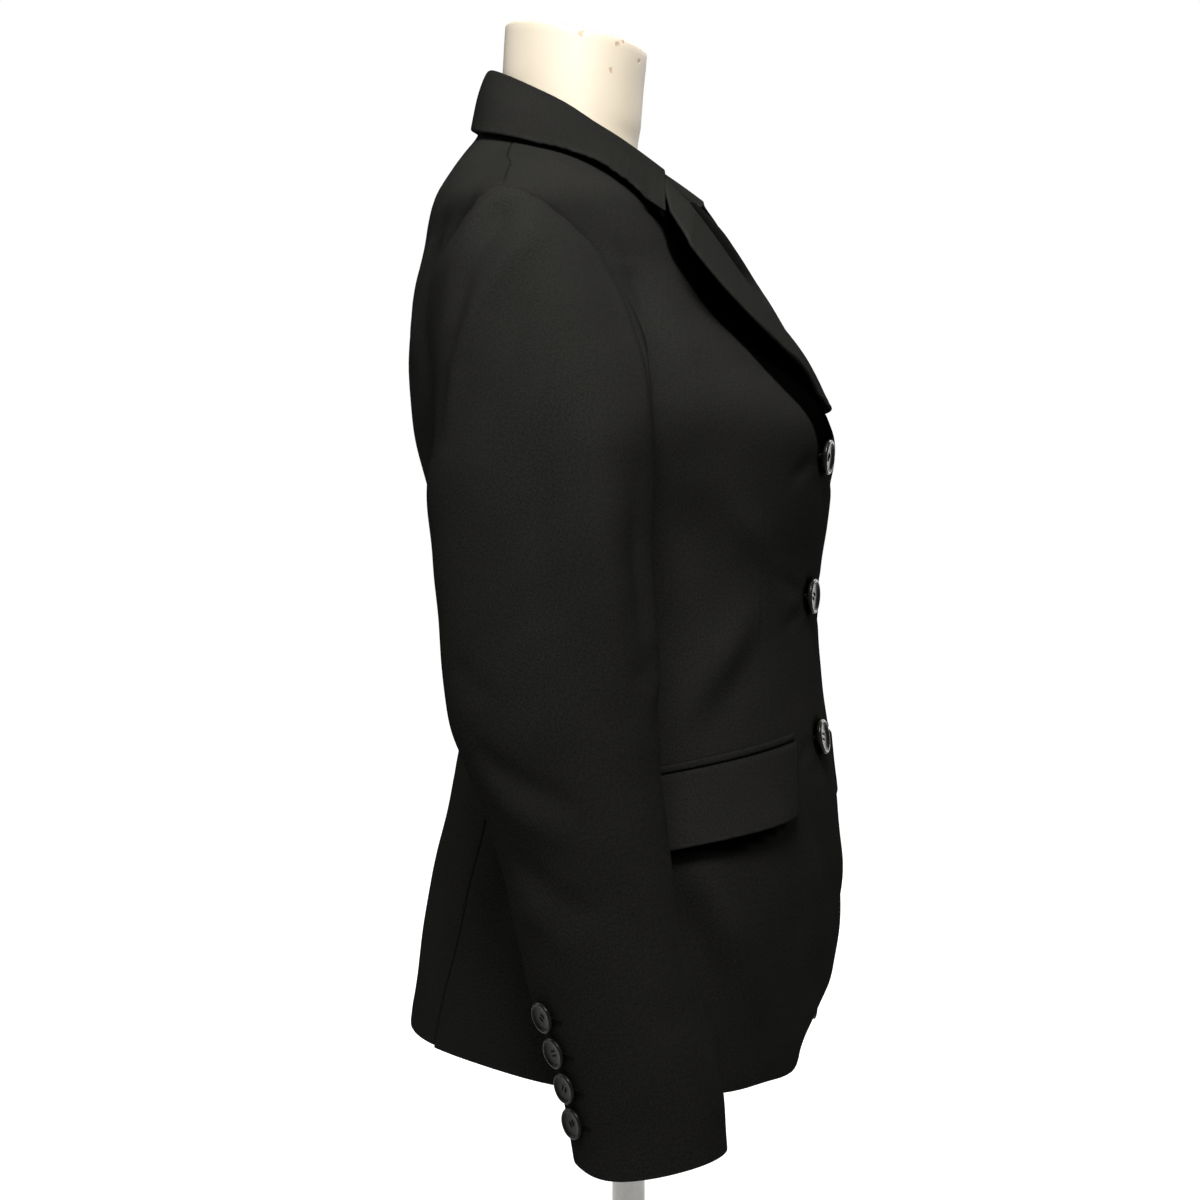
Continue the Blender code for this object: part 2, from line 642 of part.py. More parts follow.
def sleeve_piece(name, side, start, end, columns, material):
    """A lengthwise strip of the sleeve between two seams, given in degrees around."""
    gap = math.degrees(SEAM_GAP / 2 / 0.045) * 1.3

    def faces_of(u, v):
        return sleeve_faces(side, mix(start + gap, end - gap, u), v)
    return wall(name, columns, 20, faces_of, material)


# ---- collar and lapels -----------------------------------------------------------
def through(points, place):
    """A smooth curve through points; place runs from 0 to the number of spans."""
    last = len(points) - 1
    index = min(int(place), last - 1)
    t = place - index
    low, high = points[index], points[index + 1]
    before = points[index - 1] if index > 0 else low * 2 - high
    after = points[index + 2] if index + 2 <= last else high * 2 - low
    return (low * 2 + (high - before) * t
            + (before * 2 - low * 5 + high * 4 - after) * t ** 2
            + (low * 3 - before - high * 3 + after) * t ** 3) * 0.5


def table_point(rows, side, share):
    x, y, height = read_table(rows, share)
    return Vector((side * x, y + FOOT_TO_SHEET, height))


def collar_point(side, share, across):
    """The collar's middle layer: across 0 at the neck seam, 1 at its outer edge."""
    turn = read_table(COLLAR_FOOT, share)[0]
    height = read_table(NECK_SEAM, turn)[0]
    foot = body_point(side * turn, height)
    foot += body_normal(side * turn, height) * COLLAR_SEAM_LIFT
    foot.z += COLLAR_SEAM_RISE
    fold = table_point(COLLAR_FOLD, side, share)
    edge = off_body(table_point(COLLAR_EDGE, side, share), EDGE_LIFT)
    out = Vector((edge.x - fold.x, edge.y - fold.y, 0.0)).normalized() * COLLAR_ROLL
    drop = Vector((0.0, 0.0, COLLAR_ROLL))
    points = [
        foot,
        foot.lerp(fold - out - drop, 0.55),
        fold - out - drop,
        fold,
        fold + out - drop,
        fold.lerp(edge, 0.5) + out * 0.6 + drop * 0.5,
        edge,
    ]
    return through(points, across * 6)


def collar_faces(u, v):
    """u runs from the right gorge round the neck to the left one."""
    def surface(s, across):
        return collar_point(-1.0 if s < 0 else 1.0, min(abs(s), 1.0), across)
    s = mix(-1.0, 1.0, u)
    point = surface(s, v)
    along = surface(min(s + 0.01, 1.0), v) - surface(max(s - 0.01, -1.0), v)
    across = surface(s, min(v + 0.01, 1.0)) - surface(s, max(v - 0.01, 0.0))
    normal = across.cross(along).normalized() * DOUBLE_CLOTH / 2
    return point + normal, point - normal


def lapel_point(side, share, across):
    """The lapel's middle layer: across 0 at the roll line, 1 at its outer edge."""
    bottom = LEFT_LAPEL_BOTTOM if side > 0 else RIGHT_LAPEL_BOTTOM
    height = mix(bottom, LAPEL_TOP, share)
    turn = turn_at(-read_table(FRONT_EDGE, height)[0], height)
    start = body_point(side * turn, height)
    normal = body_normal(side * turn, height)
    forward = (body_point(side * (turn - 1.0), height) - start).normalized()
    start += forward * LAPEL_SEAM_FORWARD - normal * CLOTH * LAPEL_SEAM_INSET
    shown = share if side < 0 else mix(LEFT_LAPEL_SKIP, 1.0, share)
    edge = table_point(LAPEL_EDGE, side, shown)
    if side > 0:
        edge_turn = turn_at(edge.x, edge.z)
        edge = body_point(edge_turn, edge.z) + body_normal(edge_turn, edge.z) * LEFT_LAPEL_LIFT
    edge = off_body(edge, EDGE_LIFT)
    roll = LAPEL_ROLL * mix(LAPEL_FOOT_ROLL, 1.0, smooth_step(0.0, LAPEL_ROLL_GROWS, share))
    if across <= LAPEL_ROLL_SHARE:
        angle = LAPEL_ROLL_END * across / LAPEL_ROLL_SHARE
        return (start + forward * roll * math.sin(angle)
                + normal * roll * (1 - math.cos(angle)))
    top = (start + forward * roll * math.sin(LAPEL_ROLL_END)
           + normal * roll * (1 - math.cos(LAPEL_ROLL_END)))
    heading = forward * math.cos(LAPEL_ROLL_END) + normal * math.sin(LAPEL_ROLL_END)
    reach = (edge - top).length
    first = top + heading * reach * 0.25
    second = edge.lerp(top, 0.35) + normal * reach * 0.05
    t = (across - LAPEL_ROLL_SHARE) / (1 - LAPEL_ROLL_SHARE)
    return (top * (1 - t) ** 3 + first * 3 * t * (1 - t) ** 2
            + second * 3 * t * t * (1 - t) + edge * t ** 3)


def lapel_piece(name, side, material):
    def faces_of(u, v):
        point = lapel_point(side, v, u)
        along = (lapel_point(side, min(v + 0.01, 1.0), u)
                 - lapel_point(side, max(v - 0.01, 0.0), u))
        across = (lapel_point(side, v, min(u + 0.01, 1.0))
                  - lapel_point(side, v, max(u - 0.01, 0.0)))
        normal = across.cross(along).normalized() * side * DOUBLE_CLOTH / 2
        return point + normal, point - normal
    return wall(name, 11, 11, faces_of, material)


# ---- pockets and buttons ----------------------------------------------------------
def pocket_place(u, down):
    """Turn and height on the body: u from the pocket's front end, down in metres."""
    turn = mix(POCKET_FRONT_TURN, POCKET_BACK_TURN, u)
    return (turn, mix(POCKET_FRONT_HEIGHT, POCKET_BACK_HEIGHT, u) - down)


def pocket_jet(name, side, material):
    def faces_of(u, v):
        turn, height = pocket_place(u, mix(JET_DEPTH, 0.0, v))
        point = body_point(side * turn, height)
        normal = body_normal(side * turn, height)
        return point + normal * (TRIM_GAP + JET_PROUD), point + normal * TRIM_GAP
    return wall(name, 10, 1, faces_of, material)


def pocket_flap(name, side, material):
    stand_off = FLAP_STAND_OFF if side < 0 else FLAP_STAND_OFF * LEFT_FLAP_SHARE

    def faces_of(u, v):
        fall = 1 - v
        turn, height = pocket_place(u, JET_DEPTH + SEAM_GAP + FLAP_DEPTH * fall)
        turn += FLAP_SLANT * fall * (1 - u)
        point = body_point(side * turn, height)
        normal = body_normal(side * turn, height)
        lift = TRIM_GAP + stand_off * fall ** 1.5 * smooth_step(-0.3, 0.3, u)
        return point + normal * (lift + DOUBLE_CLOTH), point + normal * lift
    return wall(name, 10, 5, faces_of, material)


def button(name, radius, place, axis, steps, material):
    profile = [(r * radius, h * radius) for r, h in BUTTON_PROFILE]
    return turned(name, profile, steps, material, place, axis)


# ---- dress form and stand ------------------------------------------------------------
def form_point(turn, ring):
    """The dress form's skin: the jacket's own surface drawn in, and the round neck."""
    height = ring.height
    near_ridge = 1 - smooth_step(12.0, 40.0, abs(abs(turn) - SHOULDER_TURN))
    gap = mix(FORM_GAP, SHOULDER_GAP, near_ridge * smooth_step(0.690, 0.712, height))
    gap += FORM_FOOT_GAP * (1 - smooth_step(0.20, 0.33, height))
    torso = body_point(turn, height) - body_normal(turn, height) * gap
    if height == FORM_BOTTOM:
        torso.z = FORM_BOTTOM
    middle = NECK_MIDDLE + NECK_LEAN * (NECK_TOP_BACK - height)
    neck = ring_point(turn, NECK_HALF_WIDTH, middle - NECK_HALF_DEPTH,
                      middle + NECK_HALF_DEPTH, middle, 2.0, height)
    return torso.lerp(neck, ring.neck_share)


def dress_form(material):
    """One smooth closed body from its flat bottom to the slanted top of the neck."""
    bm = bmesh.new()
    rows = len(FORM_RINGS) + 1
    bmesh.ops.create_uvsphere(bm, u_segments=FORM_SIDES, v_segments=rows + 1, radius=1.0)
    for vert in bm.verts:
        latitude = math.acos(max(-1.0, min(1.0, -vert.co.z)))
        row = round(latitude / math.pi * (rows + 1))
        turn = math.degrees(math.atan2(vert.co.x, -vert.co.y))
        if row == 0:
            vert.co = Vector((0.0, 0.0, FORM_BOTTOM))
        elif row <= len(FORM_RINGS):
            vert.co = form_point(turn, FORM_RINGS[row - 1])
        else:
            top = (NECK_TOP_FRONT + NECK_TOP_BACK) / 2
            point = form_point(turn, FormRing(top, 1.0))
            if row == rows + 1:
                point = Vector((0.0, NECK_MIDDLE + FOOT_TO_SHEET, top))
            slant = (NECK_TOP_BACK - NECK_TOP_FRONT) / 2 / NECK_HALF_DEPTH
            point.z = top + slant * (point.y - FOOT_TO_SHEET - NECK_MIDDLE)
            vert.co = point
    return finish(bm, "dress_form", material, 40.0)


def stand(material):
    """Round foot and slim post, turned in one."""
    profile = [
        (0.0, 0.0), (FOOT_RADIUS, 0.0), (FOOT_RADIUS, FOOT_THICKNESS - FOOT_EDGE),
        (FOOT_RADIUS - FOOT_EDGE, FOOT_THICKNESS), (POST_RADIUS, FOOT_THICKNESS),
        (POST_RADIUS, FORM_BOTTOM - SEAM_GAP), (0.0, FORM_BOTTOM - SEAM_GAP),
    ]
    return turned("stand", profile, 40, material)


def build():
    for piece in list(bpy.data.objects):
        bpy.data.objects.remove(piece, do_unlink=True)

    cloth = make_material("black_wool", (0.016, 0.015, 0.016), 0.85)
    horn = make_material("dark_horn", (0.045, 0.036, 0.033), 0.25)
    cream = make_material("cream_shell", (0.72, 0.64, 0.52), 0.6)
    paint = make_material("white_paint", (0.75, 0.73, 0.70), 0.45)

    dress_form(cream)
    stand(paint)

    half = SEAM_GAP / 2
    for side, word in ((-1.0, "right"), (1.0, "left")):
        cut = left_front_cut if side > 0 else front_cut
        panel("front_" + word, side, cut, 10, 24, cloth, (0.0, half, 0.0, half),
              under=side > 0)
        panel("side_" + word, side, side_cut, 5, 12, cloth, (half, half, 0.0, 0.0))
        panel("back_" + word, side, back_cut, 12, 24, cloth, (half, half, 0.0, half))
        sleeve_piece("top_sleeve_" + word, side, SLEEVE_BACK_SEAM - 360.0, SLEEVE_FRONT_SEAM,
                     12, cloth)
        sleeve_piece("under_sleeve_" + word, side, SLEEVE_FRONT_SEAM, SLEEVE_BACK_SEAM, 9, cloth)
        lapel_piece("lapel_" + word, side, cloth)
        pocket_jet("pocket_jet_" + word, side, cloth)
        pocket_flap("pocket_flap_" + word, side, cloth)
        arm_length = SLEEVE_CAP_BASE - cuff_height(SLEEVE_BUTTON_AROUND)
        for number, height in enumerate(SLEEVE_BUTTON_HEIGHTS, 1):
            share = mix(CAP_SHARE, 1.0, (SLEEVE_CAP_BASE - height) / arm_length)
            outside, inside = sleeve_faces(side, SLEEVE_BUTTON_AROUND, share)
            axis = (outside - inside).normalized()
            button(f"sleeve_button_{word}_{number}", SLEEVE_BUTTON_RADIUS,
                   outside + axis * BUTTON_GAP, axis, 12, horn)

    wall("collar", 26, 10, collar_faces, cloth)
    for number, height in enumerate(FRONT_BUTTON_HEIGHTS, 1):
        turn = turn_at(BUTTON_LINE, height)
        axis = body_normal(turn, height)
        button(f"front_button_{number}", FRONT_BUTTON_RADIUS,
               body_point(turn, height) + axis * BUTTON_GAP, axis, 16, horn)


build()
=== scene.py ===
"""Tailored jacket buttoned on a limbless dress form, with its floor, light and camera.

Metres, +Z up. The front faces -Y and the wearer's right is -X. Each piece of cloth is
a thin shell over the surface of its solid, with its seams, creases and edges worked in.
A turn of 0 degrees is the middle of the front, 90 the side and 180 the middle of the
back; turns below 0 are the wearer's right.
"""
import json
import logging
import math
from abc import ABC, abstractmethod
from collections.abc import Callable, Sequence
from dataclasses import dataclass
from enum import Enum

import bmesh
import bpy
import numpy as np
from mathutils import Euler, Matrix, Vector

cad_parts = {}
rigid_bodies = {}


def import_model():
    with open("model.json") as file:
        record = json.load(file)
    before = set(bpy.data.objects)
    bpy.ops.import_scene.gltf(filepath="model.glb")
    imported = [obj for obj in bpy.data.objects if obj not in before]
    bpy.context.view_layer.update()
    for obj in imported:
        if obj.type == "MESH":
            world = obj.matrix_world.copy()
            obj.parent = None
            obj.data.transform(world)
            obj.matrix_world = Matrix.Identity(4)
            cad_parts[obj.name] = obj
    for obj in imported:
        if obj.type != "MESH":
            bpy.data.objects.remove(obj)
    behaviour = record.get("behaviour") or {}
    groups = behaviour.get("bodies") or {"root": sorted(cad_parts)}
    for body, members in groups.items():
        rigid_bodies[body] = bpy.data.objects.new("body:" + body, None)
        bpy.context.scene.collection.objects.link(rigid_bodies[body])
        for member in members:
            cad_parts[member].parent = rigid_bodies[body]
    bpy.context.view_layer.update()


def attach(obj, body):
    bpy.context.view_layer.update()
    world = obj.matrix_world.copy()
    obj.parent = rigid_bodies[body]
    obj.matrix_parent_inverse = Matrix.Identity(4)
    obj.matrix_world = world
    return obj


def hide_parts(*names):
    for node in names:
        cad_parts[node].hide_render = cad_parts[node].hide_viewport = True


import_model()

LOG = logging.getLogger("jacket")
Array = np.ndarray
Curve = Callable[[Array], Array]
Surface = Callable[[Array, Array], Array]
Two = tuple[float, float]
Three = tuple[float, float, float]
Colour = Three

# ---- driving dimensions, as in the part's source ----
CLOTH = 0.0020
DOUBLE_CLOTH = 0.0026
FOOT_TO_SHEET = 0.020
LEFT_UNDERLAP = 11.0
UNDERLAP_DEPTH = 0.0028
UNDERLAP_TURN, UNDERLAP_FULL = 26.0, 0.4
UNDERLAP_FOOT = (0.20, 0.27)
UNDERLAP_NARROWS = (0.545, 0.60)
UNDERLAP_RISES = (0.615, 0.650)
BREAK_HEIGHT = 0.575
GORGE_HEIGHT = 0.7364
CORNER_HEIGHT = 0.1640
SIDE_SEAM_TURN = 75.0
SHOULDER_TURN = 91.0
SHOULDER_SEAM_HALF = 0.08
EDGE_BREAK_SHARE = 0.50
EDGE_GORGE_SHARE = 0.84
ARMPIT_SHARE = 0.50
ARMHOLE_HEIGHT = 0.6355
ARMHOLE_HALF_HEIGHT = 0.0705
ARMHOLE_HALF_TURN = 32.0
SIDE_SEAM_AROUND = 149.0
BACK_SEAM_AROUND = 234.0
SLEEVE_CAP_BASE = 0.545
CAP_SHARE = 0.27
SLEEVE_SQUARENESS = 2.15
SLEEVE_FRONT_SEAM = 128.0
SLEEVE_BACK_SEAM = 288.0
CUFF_HEIGHT = 0.1385
CUFF_RISE, CUFF_DROP, CUFF_TURNS = 0.0065, 0.0045, (0.1, 1.15)
LEFT_SLEEVE_BACK = 0.029
SLEEVE_SEAM_LIFT = 0.0016
CAP_START, CAP_START_TOP = 0.018, 0.012
CAP_END, CAP_END_TOP = 0.036, 0.030
CAP_LEAN, CAP_RISE = 0.25, 0.12
COLLAR_ROLL = 0.0036
COLLAR_SEAM_LIFT, COLLAR_SEAM_RISE = 0.0012, 0.0010
LAPEL_ROLL = 0.0035
LAPEL_FOOT_ROLL = 0.5
LAPEL_ROLL_END = math.radians(150.0)
LAPEL_ROLL_SHARE = 0.30
LAPEL_ROLL_GROWS = 0.35
LAPEL_SEAM_FORWARD = 0.0006
LAPEL_SEAM_INSET = 0.4
LEFT_LAPEL_SKIP = 0.30
LAPEL_TOP = 0.7330
RIGHT_LAPEL_BOTTOM, LEFT_LAPEL_BOTTOM = 0.584, 0.624
EDGE_LIFT = 0.0045
COLLAR_EDGE_LIFT = 0.0026
LEFT_CORNER_BACK, LEFT_CORNER_TOP, LEFT_CORNER_TURN = 0.015, 0.29, 30.0
BUTTON_LINE = -0.020
POCKET_FRONT_TURN, POCKET_BACK_TURN = 25.5, 82.0
POCKET_FRONT_HEIGHT, POCKET_BACK_HEIGHT = 0.3770, 0.3540
JET_DEPTH = 0.0062
FLAP_DEPTH = 0.047
FLAP_SLANT = 4.0
FLAP_STAND_OFF = 0.0055
LEFT_FLAP_SHARE = 0.3
FRONT_BUTTON_HEIGHTS = (0.5533, 0.4626, 0.3707)
SLEEVE_BUTTON_HEIGHTS = (0.2225, 0.2025, 0.1825, 0.1625)
SLEEVE_BUTTON_AROUND = 312.0
FORM_BOTTOM = 0.195
FORM_GAP, FORM_FOOT_GAP, SHOULDER_GAP = 0.0085, 0.0145, 0.0030
NECK_HALF_WIDTH, NECK_HALF_DEPTH = 0.0465, 0.0485
NECK_MIDDLE, NECK_LEAN = 0.0160, 0.075
NECK_TOP_FRONT, NECK_TOP_BACK = 0.832, 0.852
FOOT_RADIUS, FOOT_THICKNESS, POST_RADIUS = 0.150, 0.011, 0.011
BACK_SQUARENESS = 2.2
BACK_HEM_RISE = 0.0015
SHOULDER_TUCK = 0.010
TUCK_FADES = ((0.085, 0.150), (0.010, 0.070), (0.655, 0.702), (0.726, 0.748))
TURN_LIMITS, HALVINGS = (-60.0, 90.0), 36      # the search for a turn
STEP_OUT, STEPS_OUT = 0.001, 60                # the search for a place off the body

# ---- what only the eye sees ----
SEAM_WIDTH = 0.0022           # a pressed seam falls away over this width on each side
SEAM_FALL = 0.0005            # and by this much
SET_IN_FALL = 0.00015         # a sleeve's head lies flush with the shoulder
SEAM_SHADE = 0.28             # how dark the line of a seam is
SEAM_LINE = (0.0003, 0.0018)  # and where it ends, from the seam
EDGE_WIDTH = 0.0025           # a free edge is rounded over this width
EDGE_WEAR_WIDTH = 0.004       # and worn over this one
FREE_FALL = CLOTH * 0.38      # how far each face falls at a free edge
EDGE_LEAST = 0.3              # what is left there of a doubled piece's thickness
FOLD_STRENGTH = 1.7           # how strongly the creases below are worked in
FOLD_STEPS = 5                # steps of a crease's path between two of its points
FOLD_REACH = 3                # widths beyond which a crease is left out
FOLD_FADE = (0.03, 0.8)       # how a crease fades towards its ends
FOLD_UNEVEN = (0.25, 8.0, 37.0)   # how uneven it is, and how that changes along and between
FOLD_VARIES, FOLD_WIDER = 0.2, 1.08   # on the other side
LEFT_BODY_FOLDS, LEFT_SLEEVE_FOLDS = (0.85, 1.5, 0.006), (0.9, 3.0, 0.012)
FINE_ROWS = (0.0, 0.0005, 0.0012, 0.0022, 0.0038)   # rows close to each end, in metres


class Side(Enum):
    """A side of the wearer, with the sign of its X."""

    RIGHT = -1.0
    LEFT = 1.0

    @property
    def word(self) -> str:
        """The side's name as it stands in the nodes' names."""
        return self.name.lower()


class Held(Enum):
    """How a piece of cloth is held on the form."""

    DRAPED = "draped"
    HUNG = "hung"
    FOLDED = "folded"


class Edge(Enum):
    """What a border of a piece of cloth is."""

    SEAM = "seam"
    SET_IN = "set in"
    FREE = "free"


@dataclass(frozen=True)
class Table:
    """A short table of sizes that is read smoothly between its rows.

    The first column is the place that the table is read at.
    """

    rows: tuple[tuple[float, ...], ...]

    def at(self, place: Array) -> Array:
        """Read the columns after the first at one or more places.

        Args:
            place: Values of the first column.

        Returns:
            The other columns, along the last axis.
        """
        table = np.array(self.rows, float)
        key, values = table[:, 0], table[:, 1:]
        place = np.clip(np.asarray(place, float), key[0], key[-1])
        index = np.clip(np.searchsorted(key, place, side="left") - 1, 0, len(key) - 2)
        slope = np.empty_like(values)
        slope[1:-1] = (values[2:] - values[:-2]) / (key[2:] - key[:-2])[:, None]
        slope[0] = (values[1] - values[0]) / (key[1] - key[0])
        slope[-1] = (values[-1] - values[-2]) / (key[-1] - key[-2])
        span = (key[index + 1] - key[index])[..., None]
        t = (place - key[index])[..., None] / span
        low = 2 * t ** 3 - 3 * t ** 2 + 1
        return (low * values[index] + (t ** 3 - 2 * t ** 2 + t) * span * slope[index]
                + (1 - low) * values[index + 1] + (t ** 3 - t ** 2) * span * slope[index + 1])

    def column(self, place: Array) -> Array:
        """Read the second column alone."""
        return self.at(place)[..., 0]


BODY_RINGS = Table((   # height, half width, front, back, middle, squareness
    (0.14, 0.177, -0.16, 0.122, -0.022, 2.3), (0.18, 0.179, -0.161, 0.119, -0.022, 2.3),
    (0.22, 0.178, -0.162, 0.112, -0.022, 2.3), (0.26, 0.174, -0.1635, 0.1045, -0.023, 2.3),
    (0.3, 0.167, -0.1615, 0.0975, -0.024, 2.3), (0.34, 0.158, -0.158, 0.09, -0.026, 2.25),
    (0.38, 0.149, -0.1535, 0.085, -0.028, 2.2), (0.42, 0.142, -0.149, 0.083, -0.03, 2.2),
    (0.45, 0.139, -0.148, 0.085, -0.031, 2.2), (0.48, 0.141, -0.1495, 0.091, -0.03, 2.2),
    (0.51, 0.147, -0.1535, 0.101, -0.026, 2.25), (0.54, 0.154, -0.1565, 0.112, -0.02, 2.3),
    (0.575, 0.163, -0.157, 0.119, -0.012, 2.3), (0.61, 0.169, -0.139, 0.12, -0.004, 2),
    (0.64, 0.175, -0.117, 0.1165, 0.001, 1.75), (0.67, 0.18, -0.097, 0.11, 0.004, 1.7),
    (0.69, 0.188, -0.084, 0.104, 0.006, 1.75), (0.702, 0.191, -0.0755, 0.101, 0.008, 1.8),
    (0.712, 0.184, -0.068, 0.0985, 0.012, 1.9), (0.722, 0.165, -0.06, 0.0965, 0.018, 1.95),
    (0.733, 0.139, -0.052, 0.094, 0.024, 2), (0.745, 0.111, -0.044, 0.0925, 0.03, 2),
    (0.758, 0.085, -0.034, 0.089, 0.034, 2), (0.772, 0.063, -0.026, 0.083, 0.034, 2),
    (0.792, 0.05, -0.022, 0.077, 0.03, 2),
))
FRONT_EDGE = Table((   # height, side
    (0.164, -0.1), (0.1655, -0.088), (0.17, -0.081), (0.179, -0.077), (0.189, -0.067),
    (0.203, -0.041), (0.219, -0.012), (0.238, 0.003), (0.265, 0.008), (0.56, 0.008),
    (0.575, 0.008), (0.6104, -0.002), (0.6514, -0.02), (0.6882, -0.035), (0.726, -0.05),
    (0.7364, -0.056),
))
HEM = Table((   # turn, height
    (0, 0.165), (38, 0.1635), (50, 0.1622), (75, 0.1645), (90, 0.1685), (107, 0.175),
    (118, 0.1785), (128, 0.18), (155, 0.1805), (180, 0.1785),
))
NECK_SEAM = Table((   # turn, height
    (24, 0.7364), (38, 0.745), (55, 0.752), (72, 0.758), (91, 0.764), (112, 0.772), (140, 0.781),
    (180, 0.79),
))
SIDE_BACK_SEAM = Table((   # height, turn
    (0.16, 130), (0.196, 128), (0.244, 124.5), (0.275, 122.5), (0.326, 120), (0.4, 116.5),
    (0.46, 115), (0.52, 115), (0.594, 118),
))
SLEEVE_RINGS = Table((   # height, out, middle, half depth, half width
    (0.118, 0.2165, -0.0905, 0.0445, 0.032), (0.155, 0.2165, -0.086, 0.046, 0.033),
    (0.183, 0.217, -0.0815, 0.0475, 0.034), (0.231, 0.2175, -0.067, 0.0485, 0.0355),
    (0.277, 0.2185, -0.056, 0.0485, 0.0375), (0.307, 0.219, -0.0505, 0.05, 0.039),
    (0.336, 0.2195, -0.0435, 0.053, 0.041), (0.3625, 0.2195, -0.0365, 0.0575, 0.0425),
    (0.383, 0.219, -0.032, 0.0615, 0.044), (0.406, 0.218, -0.029, 0.0635, 0.0445),
    (0.437, 0.2165, -0.027, 0.0645, 0.0455), (0.483, 0.2135, -0.0225, 0.0655, 0.047),
    (0.529, 0.2105, -0.02, 0.067, 0.0485), (0.56, 0.208, -0.023, 0.0645, 0.0485),
))
COLLAR_FOLD = Table((   # share, x, y, height
    (0, 0, 0.0752, 0.8205), (0.125, 0.0245, 0.069, 0.8175), (0.25, 0.044, 0.051, 0.808),
    (0.375, 0.058, 0.025, 0.794), (0.5, 0.065, 0.005, 0.7825), (0.625, 0.067, -0.0137, 0.7695),
    (0.75, 0.0665, -0.029, 0.7595), (0.875, 0.0635, -0.0435, 0.749), (1, 0.0585, -0.059, 0.737),
))
COLLAR_EDGE = Table((   # share, x, y, height
    (0, 0, 0.088, 0.7815), (0.125, 0.033, 0.0805, 0.7765), (0.25, 0.064, 0.0655, 0.7685),
    (0.375, 0.088, 0.044, 0.761), (0.5, 0.101, 0.018, 0.7525), (0.625, 0.107, -0.006, 0.7425),
    (0.75, 0.108, -0.028, 0.7295), (0.875, 0.107, -0.048, 0.7185), (1, 0.105, -0.0705, 0.7035),
))
COLLAR_FOOT = Table((   # share, turn
    (0, 180), (0.25, 136), (0.5, 95), (0.75, 60), (1, 26),
))
LAPEL_EDGE = Table((   # share, x, y, height
    (0, 0.006, -0.156, 0.584), (0.14, 0.038, -0.148, 0.608), (0.32, 0.066, -0.137, 0.6215),
    (0.5, 0.088, -0.125, 0.635), (0.68, 0.106, -0.107, 0.656), (0.82, 0.1185, -0.0905, 0.678),
    (0.86, 0.1175, -0.088, 0.683), (1, 0.101, -0.0725, 0.7045),
))
NECK_SHARE = Table((   # height, share
    (0.195, 0), (0.718, 0), (0.732, 0), (0.745, 0.05), (0.756, 0.3), (0.768, 0.75), (0.782, 1),
    (0.812, 1),
))
LAPEL_SHADE = Table((   # height and turn: how far the deep shade under the lapel reaches
    (0.555, 13), (0.568, 16), (0.58, 19.5), (0.596, 25), (0.62, 28), (0.648, 31), (0.676, 33.5),
    (0.692, 31.5), (0.7, 30.5), (0.706, 35),
))


# ---- small sums ----
def mix(a: Array | float, b: Array | float, share: Array | float) -> Array:
    """Blend two values by a share."""
    return a * (1 - share) + b * share


def step(low: float, high: float, value: Array | float) -> Array:
    """Rise smoothly from 0 at low to 1 at high."""
    t = np.clip((np.asarray(value, float) - low) / (high - low), 0.0, 1.0)
    return t * t * (3 - 2 * t)


def pair(a: Array | float, b: Array | float) -> Array:
    """Join two columns into rows of two."""
    return np.stack(np.broadcast_arrays(np.asarray(a, float), np.asarray(b, float)), -1)


def unit(vectors: Array) -> Array:
    """Give every vector a length of 1."""
    return vectors / np.maximum(np.linalg.norm(vectors, axis=-1, keepdims=True), 1e-12)


def bezier(start: Array, first: Array, second: Array, end: Array, t: Array) -> Array:
    """A smooth curve from a start to an end, drawn towards two points between."""
    return (start * (1 - t) ** 3 + first * 3 * t * (1 - t) ** 2
            + second * 3 * t * t * (1 - t) + end * t ** 3)


def shares(length: float, spacing: float) -> Array:
    """Places from 0 to 1 along a piece, with fine rows close to both ends.

    Args:
        length: The piece's length in metres.
        spacing: Distance of the rows between the ends.

    Returns:
        The places, rising.
    """
    fine = np.array(FINE_ROWS) / length
    count = max(2, round((length - 2 * FINE_ROWS[-1]) / spacing))
    middle = np.linspace(fine[-1], 1 - fine[-1], count + 1)[1:-1]
    return np.concatenate([fine, middle, 1 - fine[::-1]])


def normal_of(surface: Surface, u: Array, v: Array, du: float, dv: float) -> Array:
    """The outward normals of a surface of two numbers, by small steps of each."""
    along = surface(u + du, v) - surface(u - du, v)
    up = surface(u, v + dv) - surface(u, v - dv)
    return unit(np.cross(along, up))


def squared(turn: Array, squareness: Array | float) -> tuple[Array, Array, Array]:
    """The sine and cosine of a turn, and what squares a ring's corners a little."""
    angle = np.radians(turn)
    sine, cosine = np.sin(angle), np.cos(angle)
    power = np.abs(sine) ** squareness + np.abs(cosine) ** squareness
    return sine, cosine, power ** (1.0 / squareness)


# ---- the body's surface ----
def ring_point(turn: Array, half_width: Array, front: Array, back: Array, middle: Array,
               squareness: Array | float, height: Array) -> Array:
    """Points on closed, slightly squared rings.

    Args:
        turn: Degrees from the front.
        half_width: Half the ring's width.
        front: Where the ring's front lies.
        back: Where its back lies.
        middle: Where it is widest.
        squareness: 2 for an ellipse, more for squarer.
        height: Height of the ring.

    Returns:
        The points.
    """
    sine, cosine, stretch = squared(turn, squareness)
    depth = np.where(cosine > 0, middle - front, back - middle)
    return np.stack([half_width * sine / stretch,
                     middle - depth * cosine / stretch + FOOT_TO_SHEET,
                     height + 0.0 * sine], -1)


def tuck(points: Array) -> Array:
    """Draw in the back of the shoulders, where the cloth falls back from the sleeve's head."""
    x, y, z = np.moveaxis(points, -1, 0)
    aside, back, low, high = TUCK_FADES
    share = step(*aside, np.abs(x)) * step(*back, y) * step(*low, z) * (1 - step(*high, z))
    return np.stack([x, y - SHOULDER_TUCK * share, z], -1)


